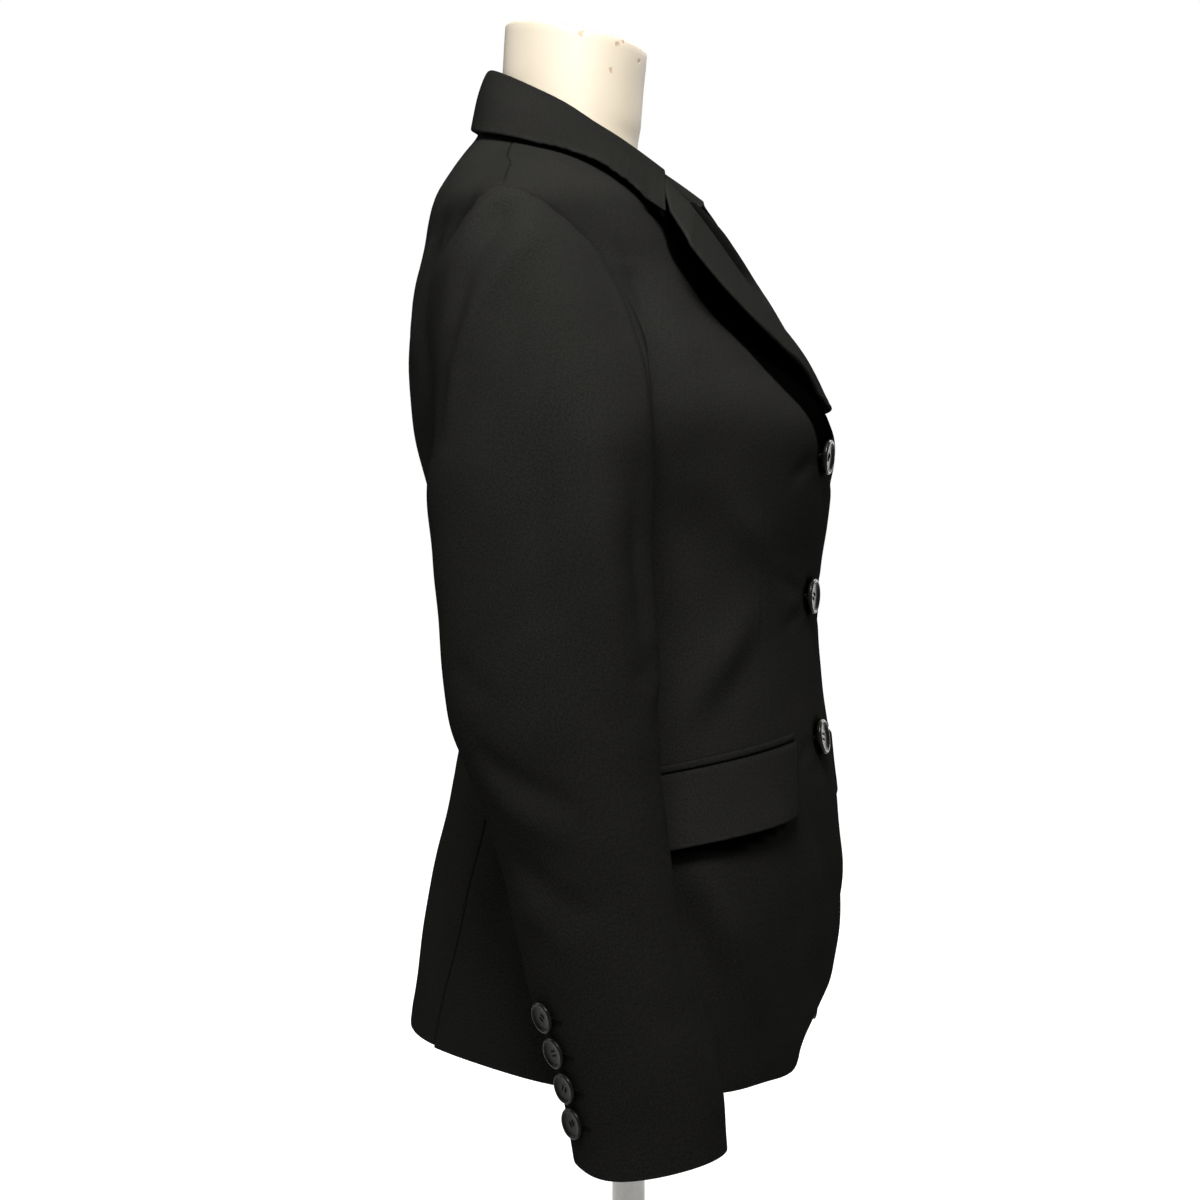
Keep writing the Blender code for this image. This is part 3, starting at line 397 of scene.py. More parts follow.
def body_point(turn: Array, height: Array) -> Array:
    """Points on the outer face of the jacket's body."""
    return tuck(plain_body_point(turn, height))


def plain_body_point(turn: Array, height: Array) -> Array:
    """The same points before the shoulders are drawn in."""
    turn, height = np.broadcast_arrays(np.asarray(turn, float), np.asarray(height, float))
    half_width, front, back, middle, square = np.moveaxis(BODY_RINGS.at(height), -1, 0)
    square = np.where(np.abs(turn) > 90.0, BACK_SQUARENESS, square)
    return ring_point(turn, half_width, front, back, middle, square, height)


def body_normal(turn: Array, height: Array) -> Array:
    """The outward normals of the body's outer face."""
    turn, height = np.broadcast_arrays(np.asarray(turn, float), np.asarray(height, float))
    return normal_of(body_point, turn, height, 0.5, 0.001)


def turn_at(side_distance: Array, height: Array) -> Array:
    """The turns on the body that lie a distance from the middle of the front."""
    low, high = (np.full(np.shape(height), limit) for limit in TURN_LIMITS)
    for _ in range(HALVINGS):
        middle = (low + high) / 2
        below = body_point(middle, height)[..., 0] < side_distance
        low, high = np.where(below, middle, low), np.where(below, high, middle)
    return (low + high) / 2


def off_body(point: Array, lift: float) -> Array:
    """Move a point out from the body until it lies at least a lift above it.

    Args:
        point: The point.
        lift: The least distance.

    Returns:
        The moved point.
    """
    point = np.array(point, float)
    for _ in range(STEPS_OUT):
        half_width, front, back, middle, _ = BODY_RINGS.at(point[2])
        y = point[1] - FOOT_TO_SHEET - middle
        depth = middle - front if y < 0 else back - middle
        turn = math.degrees(math.atan2(abs(point[0]) / half_width, -y / depth))
        surface, normal = body_point(turn, point[2]), body_normal(turn, point[2])
        if (np.array([abs(point[0]), point[1], point[2]]) - surface) @ normal >= lift:
            break
        point += normal * [math.copysign(1.0, point[0]), 1.0, 1.0] * STEP_OUT
    return point


# ---- curves that bound the body's panels, as (turn, height) ----
def front_edge(share: Array, underlap: float = 0.0) -> Array:
    """Up the front edge, the roll line and the front of the neck to the shoulder seam.

    Args:
        share: Places from 0 at the hem to 1 at the shoulder seam.
        underlap: Degrees that a front reaches further under the other one.

    Returns:
        Pairs of turn and height.
    """
    low = mix(CORNER_HEIGHT, BREAK_HEIGHT, share / EDGE_BREAK_SHARE)
    rise = (share - EDGE_BREAK_SHARE) / (EDGE_GORGE_SHARE - EDGE_BREAK_SHARE)
    high = np.minimum(mix(BREAK_HEIGHT, GORGE_HEIGHT, rise), GORGE_HEIGHT)
    height = np.where(share <= EDGE_BREAK_SHARE, low, high)
    fastened = step(*UNDERLAP_FOOT, height) * (1 - step(*UNDERLAP_NARROWS, height))
    turn = turn_at(-FRONT_EDGE.column(height), height) - underlap * fastened
    beyond = (share - EDGE_GORGE_SHARE) / (1 - EDGE_GORGE_SHARE)
    neck_turn = mix(NECK_SEAM.rows[0][0], SHOULDER_TURN, beyond)
    neck = share > EDGE_GORGE_SHARE
    return pair(np.where(neck, neck_turn, turn),
                np.where(neck, NECK_SEAM.column(neck_turn), height))


def armhole(around: Array) -> Array:
    """Round the armhole: 0 at the shoulder point, 90 in front, 180 under the arm."""
    angle = np.radians(around)
    return pair(SHOULDER_TURN - ARMHOLE_HALF_TURN * np.sin(angle),
                ARMHOLE_HEIGHT + ARMHOLE_HALF_HEIGHT * np.cos(angle))


def side_front_line(share: Array) -> Array:
    """Up the side seam and round the front of the armhole to the shoulder point."""
    foot = pair(SIDE_SEAM_TURN, HEM.column(np.array(SIDE_SEAM_TURN)))
    below = np.clip(share / ARMPIT_SHARE, 0, 1)[..., None]
    above = np.clip((share - ARMPIT_SHARE) / (1 - ARMPIT_SHARE), 0, 1)
    straight = mix(foot, armhole(np.array(SIDE_SEAM_AROUND)), below)
    return np.where((share <= ARMPIT_SHARE)[..., None], straight,
                    armhole(mix(SIDE_SEAM_AROUND, 0.0, above)))


def side_back_line(share: Array) -> Array:
    """Up the side-back seam and round the back of the armhole to the shoulder point."""
    top = armhole(np.array(BACK_SEAM_AROUND))[1]
    foot = HEM.column(np.array(SIDE_BACK_SEAM.rows[0][1]))
    height = mix(foot, top, np.clip(share / ARMPIT_SHARE, 0, 1))
    above = np.clip((share - ARMPIT_SHARE) / (1 - ARMPIT_SHARE), 0, 1)
    return np.where((share <= ARMPIT_SHARE)[..., None],
                    pair(SIDE_BACK_SEAM.column(height), height),
                    armhole(mix(BACK_SEAM_AROUND, 360.0, above)))


def patch(left: Curve, right: Curve, bottom: Curve, top: Curve, u: Array, v: Array) -> Array:
    """The sheet spanned by four curves that meet at their ends.

    Args:
        left: The curve at u 0.
        right: The curve at u 1.
        bottom: The curve at v 0.
        top: The curve at v 1.
        u: Places across.
        v: Places along.

    Returns:
        Pairs of turn and height on the grid of u and v.
    """
    ends = np.array([0.0, 1.0])
    (p00, p01), (p10, p11) = left(ends), right(ends)
    a, b, c, d = left(v)[None], right(v)[None], bottom(u)[:, None], top(u)[:, None]
    u, v = u[:, None, None], v[None, :, None]
    corners = p00 * (1 - u) * (1 - v) + p10 * u * (1 - v) + p01 * (1 - u) * v + p11 * u * v
    return a * (1 - u) + b * u + c * (1 - v) + d * v - corners


def front_cut(u: Array, v: Array, underlap: float = 0.0) -> Array:
    """The front: u from its edge to the side, v from the hem to the shoulder."""
    start = front_edge(np.array([0.0]))[0]

    def hem(share: Array) -> Array:
        """The front's lower edge."""
        turn = mix(start[0], SIDE_SEAM_TURN, share)
        return pair(turn, mix(start[1], HEM.column(turn), step(0.0, 0.25, share)))

    def shoulder(share: Array) -> Array:
        """The front's shoulder seam."""
        ends = front_edge(np.array([1.0]))[0], armhole(np.array(0.0))
        return mix(ends[0], ends[1], share[..., None])
    cut = patch(lambda share: front_edge(share, underlap), side_front_line, hem, shoulder, u, v)
    cut[..., 0] = np.minimum(cut[..., 0], SHOULDER_TURN - SHOULDER_SEAM_HALF)
    return cut


def left_front_cut(u: Array, v: Array) -> Array:
    """The left front, which reaches under the right one."""
    return front_cut(u, v, LEFT_UNDERLAP)


def side_cut(u: Array, v: Array) -> Array:
    """The side panel: u from the front-side seam to the side-back seam."""
    foot = side_back_line(np.array([0.0]))[0, 0]

    def hem(share: Array) -> Array:
        """The side panel's lower edge."""
        turn = mix(SIDE_SEAM_TURN, foot, share)
        return pair(turn, HEM.column(turn))
    return patch(lambda share: side_front_line(share * ARMPIT_SHARE),
                 lambda share: side_back_line(share * ARMPIT_SHARE), hem,
                 lambda share: armhole(mix(SIDE_SEAM_AROUND, BACK_SEAM_AROUND, share)), u, v)


def back_cut(u: Array, v: Array) -> Array:
    """The back: u from the side to the centre-back seam."""
    foot = side_back_line(np.array([0.0]))[0, 0]
    neck = NECK_SEAM.column(np.array(SHOULDER_TURN))

    def hem(share: Array) -> Array:
        """The back's lower edge."""
        turn = mix(foot, 180.0, share)
        return pair(turn, HEM.column(turn))

    def middle(share: Array) -> Array:
        """The centre-back seam."""
        return pair(180.0, mix(HEM.rows[-1][1], NECK_SEAM.rows[-1][1], share))

    def top(share: Array) -> Array:
        """The shoulder seam and the back of the neck."""
        first = mix(armhole(np.array(360.0)), pair(SHOULDER_TURN, neck),
                    np.minimum(share * 2, 1)[..., None])
        turn = mix(SHOULDER_TURN, 180.0, np.maximum(share * 2 - 1, 0))
        return np.where((share <= 0.5)[..., None], first, pair(turn, NECK_SEAM.column(turn)))
    cut = patch(side_back_line, middle, hem, top, u, v)
    cut[..., 0] = np.maximum(cut[..., 0], SHOULDER_TURN + SHOULDER_SEAM_HALF)
    cut[..., 1] += BACK_HEM_RISE * (1 - step(0.0, 0.2, v))[None, :]
    return cut


# ---- the sleeve's surface ----
def sleeve_ring(side: float, around: Array, height: Array) -> Array:
    """Points on the arm's tube: around is 0 outside, 90 in front, 180 inside."""
    out, middle, half_depth, half_width = np.moveaxis(SLEEVE_RINGS.at(height), -1, 0)
    if side > 0:
        middle = middle + LEFT_SLEEVE_BACK * (1 - step(0.15, 0.50, height))
    sine, cosine, stretch = squared(around, SLEEVE_SQUARENESS)
    return np.stack([side * (out + half_width * cosine / stretch),
                     middle - half_depth * sine / stretch + FOOT_TO_SHEET,
                     height + 0.0 * sine], -1)


def cuff_height(around: Array) -> Array:
    """The cuff's edge: higher in front, lowest on the outside, turned up at the back seam."""
    angle = np.radians(around)
    outside, seam = (np.maximum(0, np.cos(angle + at)) for at in CUFF_TURNS)
    return (CUFF_HEIGHT + CUFF_RISE * np.sin(angle) - CUFF_DROP * outside ** 2
            + CUFF_DROP * seam ** 8)


def sleeve_point(side: float, around: Array, share: Array) -> Array:
    """The sleeve's outer face: share 0 at the armhole seam, 1 at the cuff."""
    around, share = np.broadcast_arrays(np.asarray(around, float), np.asarray(share, float))
    down = np.clip((share - CAP_SHARE) / (1 - CAP_SHARE), 0, 1)
    arm = sleeve_ring(side, around, mix(SLEEVE_CAP_BASE, cuff_height(around), down))
    seam = armhole(around)
    turn, height = side * seam[..., 0], seam[..., 1]
    start = plain_body_point(turn, height) + body_normal(turn, height) * SLEEVE_SEAM_LIFT
    base = np.full(around.shape, SLEEVE_CAP_BASE)
    end = sleeve_ring(side, around, base)
    below = sleeve_ring(side, around, base - 0.01)
    cosine, sine = np.cos(np.radians(around))[..., None], np.sin(np.radians(around))[..., None]
    rise = CAP_RISE * np.maximum(cosine, 0)
    lean = np.concatenate([side + 0.0 * sine, -CAP_LEAN * sine, rise], -1)
    first = start + unit(lean) * (CAP_START + CAP_START_TOP * cosine)
    second = end + unit(end - below) * (CAP_END + CAP_END_TOP * cosine)
    t = np.clip(share / CAP_SHARE, 0, 1)[..., None]
    return tuck(np.where((share > CAP_SHARE)[..., None], arm, bezier(start, first, second, end, t)))


def sleeve_normal(side: float, around: Array, share: Array) -> Array:
    """The outward normals of the sleeve."""
    low, high = np.clip(share - 0.004, 0, 1), np.clip(share + 0.004, 0, 1)
    along = sleeve_point(side, around + 1.0, share) - sleeve_point(side, around - 1.0, share)
    down = sleeve_point(side, around, high) - sleeve_point(side, around, low)
    return unit(np.cross(along, down) * side)


# ---- creases ----
@dataclass(frozen=True)
class Fold:
    """One soft crease along a path on a surface.

    The depth is in millimetres, below 0 for a trough and above 0 for a ridge, and so is
    the width, from its middle to where little of it is left.
    """

    depth: float
    width: float
    path: tuple[Two, ...]

    def lift(self, points: Array, surface: Surface) -> Array:
        """How far the crease lifts each point off the smooth surface.

        Args:
            points: Points of the cloth.
            surface: Turns the path's pairs into points.

        Returns:
            The lift at each point, in metres.
        """
        knots = np.arange(len(self.path))
        places = np.linspace(0, knots[-1], FOLD_STEPS * knots[-1] + 1)
        first = np.interp(places, knots, [p[0] for p in self.path])
        second = np.interp(places, knots, [p[1] for p in self.path])
        line = surface(first, second)
        width = self.width / 1000
        reach = FOLD_REACH * width
        near = np.all((points > line.min(0) - reach) & (points < line.max(0) + reach), -1)
        run = np.diff(line, axis=0)
        away = points[near][:, None] - line[None, :-1]
        share = np.clip((away * run).sum(-1) / (run ** 2).sum(-1), 0, 1)
        gap = np.linalg.norm(away - share[..., None] * run, axis=-1)
        nearest = gap.argmin(1)
        rows = np.arange(len(nearest))
        along = (nearest + share[rows, nearest]) / len(run)
        end, power = FOLD_FADE
        fade = np.sin(np.pi * np.clip(along, end, 1 - end)) ** power
        amount, waves, start = FOLD_UNEVEN
        uneven = 1 + amount * np.sin(waves * along + start * self.width)
        total = np.zeros(len(points))
        depth = FOLD_STRENGTH * self.depth / 1000 * fade * uneven
        total[near] = depth * np.exp(-(gap[rows, nearest] / width) ** 2)
        return total


BODY_FOLDS = (   # paths of (turn, height), on both sides
    Fold(1.5, 9, ((124, 0.63), (121, 0.66), (114, 0.687), (103, 0.7025), (91, 0.706),
                  (79, 0.7015), (68, 0.686), (61, 0.66), (58.5, 0.63), (60, 0.605))),
    Fold(1.5, 10, ((74, 0.737), (66, 0.73), (54, 0.719), (42, 0.706))),
    Fold(2.3, 12, ((37, 0.464), (46, 0.436), (57, 0.404), (68, 0.374))),
    Fold(-0.9, 12, ((36, 0.445), (43, 0.414), (54, 0.383), (62, 0.368))),
    Fold(-1.6, 21, ((74, 0.536), (66, 0.516), (57, 0.494), (44, 0.464))),
    Fold(1.3, 11, ((52, 0.53), (44, 0.508), (36, 0.486), (30, 0.47))),
    Fold(-2.2, 8, ((53, 0.668), (55, 0.642), (60, 0.614), (66, 0.575))),
    Fold(1, 10, ((46, 0.652), (49, 0.616), (54, 0.574))),
    Fold(2.6, 13, ((60, 0.318), (54, 0.286), (46, 0.24), (39, 0.18))),
    Fold(-2.8, 11, ((66, 0.3), (60, 0.272), (55, 0.236), (50, 0.196))),
    Fold(-1, 13, ((33, 0.33), (28, 0.27), (24, 0.215))),
    Fold(1, 10, ((22, 0.318), (17, 0.27), (15, 0.232))),
    Fold(-1, 5, ((12, 0.552), (20, 0.546), (30, 0.532))),
    Fold(-0.8, 5, ((12, 0.462), (20, 0.466), (31, 0.476))),
    Fold(-0.8, 5, ((12, 0.458), (19, 0.45), (28, 0.438))),
    Fold(-0.7, 5, ((12, 0.37), (18, 0.366), (24, 0.356))),
    Fold(-1.4, 9, ((78, 0.35), (82, 0.3), (84, 0.24), (84, 0.18))),
    Fold(1.2, 9, ((90, 0.33), (93, 0.27), (95, 0.2))),
    Fold(-1.6, 9, ((86, 0.54), (90, 0.5), (97, 0.462), (108, 0.44))),
    Fold(1, 9, ((84, 0.5), (90, 0.462), (100, 0.43))),
    Fold(-1.3, 12, ((104, 0.35), (108, 0.29), (112, 0.22))),
    Fold(-2.4, 6, ((108, 0.696), (112, 0.676), (117, 0.65), (119, 0.61), (117, 0.57))),
    Fold(1.8, 6, ((105, 0.69), (109, 0.66), (113, 0.628), (114, 0.596))),
    Fold(-1.6, 5, ((101, 0.69), (106, 0.664), (110, 0.64))),
    Fold(1.6, 9, ((116, 0.7), (123, 0.664), (126, 0.62), (124, 0.57))),
    Fold(-2.4, 8, ((126, 0.69), (131, 0.645), (130, 0.6))),
    Fold(1.4, 7, ((134, 0.69), (139, 0.65), (140, 0.6))),
    Fold(-1.8, 8, ((118, 0.486), (132, 0.47), (150, 0.466), (168, 0.474))),
    Fold(1.3, 9, ((122, 0.506), (140, 0.492), (160, 0.494))),
    Fold(-1.2, 8, ((124, 0.44), (140, 0.436), (156, 0.442))),
    Fold(-1.4, 14, ((140, 0.37), (137, 0.3), (136, 0.21))),
    Fold(1.4, 14, ((156, 0.35), (154, 0.28), (153, 0.2))),
    Fold(-1.2, 14, ((169, 0.34), (168, 0.26), (168, 0.195))),
)
RIGHT_SLEEVE_FOLDS = (   # paths of (around, share of the length)
    Fold(3.2, 8, ((22, 0.085), (10, 0.115), (-6, 0.14), (-20, 0.16), (-38, 0.2), (-50, 0.27))),
    Fold(-4, 10, ((20, 0.045), (4, 0.07), (-12, 0.095), (-28, 0.125), (-44, 0.17))),
    Fold(-1.2, 9, ((12, 0.15), (0, 0.185), (-12, 0.23), (-20, 0.29))),
    Fold(-2.2, 5, ((66, 0.03), (80, 0.06), (92, 0.1), (99, 0.15), (101, 0.21))),
    Fold(1.4, 8, ((60, 0.06), (72, 0.11), (80, 0.17), (84, 0.24))),
    Fold(2.3, 13, ((42, 0.2), (42, 0.32), (45, 0.44), (44, 0.56))),
    Fold(-2.5, 11, ((70, 0.26), (70, 0.38), (76, 0.48), (82, 0.56))),
    Fold(-1.6, 11, ((14, 0.23), (10, 0.35), (12, 0.46))),
    Fold(-1.4, 8, ((-40, 0.56), (-30, 0.585), (-16, 0.602), (2, 0.618), (18, 0.64))),
    Fold(1.2, 9, ((-42, 0.6), (-26, 0.632), (-8, 0.65), (8, 0.668))),
    Fold(-1.3, 9, ((-44, 0.664), (-30, 0.692), (-16, 0.712), (2, 0.728), (16, 0.744))),
    Fold(0.9, 9, ((-40, 0.72), (-24, 0.752), (-6, 0.775))),
    Fold(-0.6, 8, ((-46, 0.48), (-34, 0.505), (-18, 0.52))),
    Fold(1.4, 6, ((86, 0.78), (92, 0.83), (101, 0.88), (112, 0.94))),
    Fold(-1.4, 7, ((76, 0.77), (80, 0.84), (88, 0.91))),
    Fold(-1, 10, ((30, 0.7), (40, 0.78), (44, 0.88))),
    Fold(-0.7, 8, ((100, 0.47), (86, 0.492), (68, 0.502), (54, 0.506))),
    Fold(-0.7, 8, ((112, 0.53), (96, 0.552), (78, 0.56))),
    Fold(0.6, 8, ((106, 0.505), (90, 0.524), (72, 0.532))),
    Fold(-2, 9, ((150, 0.18), (162, 0.26), (166, 0.35))),
    Fold(-2, 8, ((216, 0.52), (190, 0.548), (164, 0.556), (140, 0.548))),
    Fold(1.5, 8, ((220, 0.566), (194, 0.59), (168, 0.598))),
    Fold(-1.8, 8, ((246, 0.64), (222, 0.664), (196, 0.676), (170, 0.672))),
    Fold(-1.6, 8, ((262, 0.56), (246, 0.584), (230, 0.592))),
    Fold(-1.3, 11, ((206, 0.76), (210, 0.84), (214, 0.92))),
    Fold(1.3, 10, ((236, 0.3), (242, 0.38), (244, 0.47))),
)


def shifted(folds: Sequence[Fold], share: float, first: float, second: float) -> tuple[Fold, ...]:
    """The same creases for the other side, weaker or stronger and a little moved.

    Args:
        folds: The creases.
        share: What is left of each one's depth.
        first: How far the first number of each pair moves.
        second: How far the second number moves.

    Returns:
        The moved creases.
    """
    return tuple(Fold(fold.depth * (share + FOLD_VARIES * math.sin(index)),
                      fold.width * FOLD_WIDER,
                      tuple((a + first * math.cos(index), b + second * math.sin(2 * index))
                            for a, b in fold.path))
                 for index, fold in enumerate(folds))


def drape(points: Array) -> Array:
    """The slight, broad unevenness of cloth that hangs on a form."""
    x, y, z = np.moveaxis(points, -1, 0)
    return (0.00035 * np.sin(61 * x + 38 * z + 0.4) * np.sin(47 * y - 29 * z + 1.1)
            + 0.00022 * np.sin(118 * x - 71 * y + 64 * z)
            + 0.00018 * np.sin(96 * y + 133 * z + 2.0))


# ---- making a shell ----
def run_along(points: Array, axis: int) -> Array:
    """Distance along a grid of points from its start, on one of its two axes."""
    steps = np.linalg.norm(np.diff(points, axis=axis), axis=-1)
    pad = [(1, 0) if index == axis else (0, 0) for index in range(2)]
    return np.cumsum(np.pad(steps, pad), axis=axis)


def rounded(gap: Array) -> Array:
    """The round of a free edge: 0 at the edge and 1 where the round ends."""
    return np.sqrt(1 - (1 - np.clip(gap / EDGE_WIDTH, 0, 1)) ** 2)


def thinned(gap: Array) -> Array:
    """What is left of a doubled piece's thickness near a free edge."""
    return EDGE_LEAST + (1 - EDGE_LEAST) * rounded(gap)


def edge_wear(gap: Array) -> Array:
    """The mask of the wear along a free edge."""
    return 1 - step(0.0, EDGE_WEAR_WIDTH, gap)


@dataclass(frozen=True)
class Borders:
    """What the four borders of a piece are: at u 0, u 1, v 0 and v 1."""

    start_u: Edge = Edge.SEAM
    end_u: Edge = Edge.SEAM
    start_v: Edge = Edge.FREE
    end_v: Edge = Edge.SEAM

    def gaps(self, points: Array) -> tuple[tuple[Array, Edge], ...]:
        """How far a grid's points lie from each border, with what the border is."""
        across, along = run_along(points, 0), run_along(points, 1)
        return ((across, self.start_u), (across[-1:] - across, self.end_u),
                (along, self.start_v), (along[:, -1:] - along, self.end_v))

    def falls(self, points: Array) -> tuple[Array, Array, Array, Array]:
        """How the faces of a single layer fall towards the borders.

        Args:
            points: The grid of points.

        Returns:
            The fall of the outer face, the rise of the inner face, a mask of the free edges
            and a mask of the seams.
        """
        outer, inner, edge, seam = (np.zeros(points.shape[:-1]) for _ in range(4))
        for gap, kind in self.gaps(points):
            if kind is Edge.FREE:
                fall = FREE_FALL * (1 - rounded(gap))
                outer, inner = np.maximum(outer, fall), np.maximum(inner, fall)
                edge = np.maximum(edge, edge_wear(gap))
                continue
            fall = SEAM_FALL if kind is Edge.SEAM else SET_IN_FALL
            outer = np.maximum(outer, fall * (1 - step(0.0, SEAM_WIDTH, gap)))
            if kind is Edge.SEAM:
                seam = np.maximum(seam, SEAM_SHADE * (1 - step(*SEAM_LINE, gap)))
        return outer, inner, edge, seam

    def doubled(self, middle: Array, sign: float) -> tuple[tuple[Array, Array], Array]:
        """The faces of a doubled piece from its middle layer.

        Args:
            middle: The grid of the middle layer.
            sign: 1 where the grid's own normal points out, else -1.

        Returns:
            The outer and inner face, and the mask of the edges.
        """
        normal = unit(np.cross(np.gradient(middle, axis=0), np.gradient(middle, axis=1))) * sign
        half = np.full(middle.shape[:-1], DOUBLE_CLOTH / 2)
        edge = np.zeros(middle.shape[:-1])
        for gap, kind in self.gaps(middle):
            if kind is Edge.FREE:
                half = np.minimum(half, DOUBLE_CLOTH / 2 * thinned(gap))
                edge = np.maximum(edge, edge_wear(gap))
        return (middle + normal * half[..., None], middle - normal * half[..., None]), edge


def set_values(mesh: bpy.types.Mesh, name: str, values: Array) -> None:
    """Store one number a vertex on a mesh."""
    attribute = mesh.attributes.new(name, "FLOAT", "POINT")
    attribute.data.foreach_set("value", np.ascontiguousarray(values, np.float32).ravel())


def to_mesh(bm: bmesh.types.BMesh, name: str) -> bpy.types.Mesh:
    """Turn a closed shape's faces outwards and make it a mesh."""
    bmesh.ops.recalc_face_normals(bm, faces=bm.faces)
    mesh = bpy.data.meshes.new(name)
    bm.to_mesh(mesh)
    bm.free()
    return mesh


def spin_profile(bm: bmesh.types.BMesh, profile: Sequence[Two], steps: int, merge: float) -> None:
    """Turn a profile round the upright axis.

    Args:
        bm: Where the shape is made.
        profile: Pairs of radius and height.
        steps: Number of steps round.
        merge: The distance below which points are joined.
    """
    verts = [bm.verts.new((radius, 0.0, height)) for radius, height in profile]
    edges = [bm.edges.new(two) for two in zip(verts[:-1], verts[1:])]
    bmesh.ops.spin(bm, geom=verts + edges, cent=(0, 0, 0), axis=(0, 0, 1), angle=math.tau,
                   steps=steps, use_merge=True)
    bmesh.ops.remove_doubles(bm, verts=bm.verts[:], dist=merge)


def make_shell(name: str, outer: Array, inner: Array, materials: Sequence[bpy.types.Material],
               masks: dict[str, Array]) -> bpy.types.Object:
    """Make a closed thin shell from two matching grids of points.

    Args:
        name: The piece's name.
        outer: The grid of the outer face.
        inner: The grid of the inner face.
        materials: The outer face's material, and the inner face's where it has its own.
        masks: Values on the grid, stored by name.

    Returns:
        The finished object.
    """
    columns, rows = outer.shape[0] - 1, outer.shape[1] - 1
    bm = bmesh.new()
    bmesh.ops.create_grid(bm, x_segments=columns, y_segments=rows, size=0.5)
    pulled = bmesh.ops.extrude_face_region(bm, geom=bm.faces[:])["geom"]
    inside = {item for item in pulled if isinstance(item, bmesh.types.BMVert)}
    for face in (item for item in pulled if isinstance(item, bmesh.types.BMFace)):
        face.material_index = len(materials) - 1
    places = []
    for vert in bm.verts:
        i, j = round((vert.co.x + 0.5) * columns), round((vert.co.y + 0.5) * rows)
        places.append((i, j))
        vert.co = (inner if vert in inside else outer)[i, j]
    mesh = to_mesh(bm, name)
    place = np.array(places)
    for key, values in masks.items():
        set_values(mesh, key, values[place[:, 0], place[:, 1]])
    across = run_along(outer, 0)
    flat = np.stack([across - across[outer.shape[0] // 2], run_along(outer, 1)], -1)
    corners = np.zeros(len(mesh.loops), np.int32)
    mesh.loops.foreach_get("vertex_index", corners)
    layer = mesh.uv_layers.new(name="cloth")
    corner_places = flat[place[corners, 0], place[corners, 1]]
    layer.data.foreach_set("uv", corner_places.astype(np.float32).ravel())
    return finish(name, mesh, materials)


def finish(name: str, mesh: bpy.types.Mesh, materials: Sequence[bpy.types.Material],
           sharp: float = 60.0) -> bpy.types.Object:
    """Make an object of a mesh, shade it and give it its materials.

    Args:
        name: The piece's name.
        mesh: Its mesh.
        materials: Its materials.
        sharp: Edges above this angle stay sharp, in degrees.

    Returns:
        The object.
    """
    mesh.shade_smooth()
    mesh.set_sharp_from_angle(angle=math.radians(sharp))
    for material in materials:
        mesh.materials.append(material)
    return link(bpy.data.objects.new(name, mesh))


def link(item: bpy.types.Object) -> bpy.types.Object:
    """Put an object in the scene."""
    bpy.context.scene.collection.objects.link(item)
    return item


def settle(piece: bpy.types.Object, slot: str, *nodes: str) -> None:
    """Let a piece ride on the part, stand for its nodes and log the name of its slot."""
    if nodes:
        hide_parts(*nodes)
    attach(piece, "root")
    LOG.info("%s: %d faces, %s", piece.name, len(piece.data.polygons), slot)


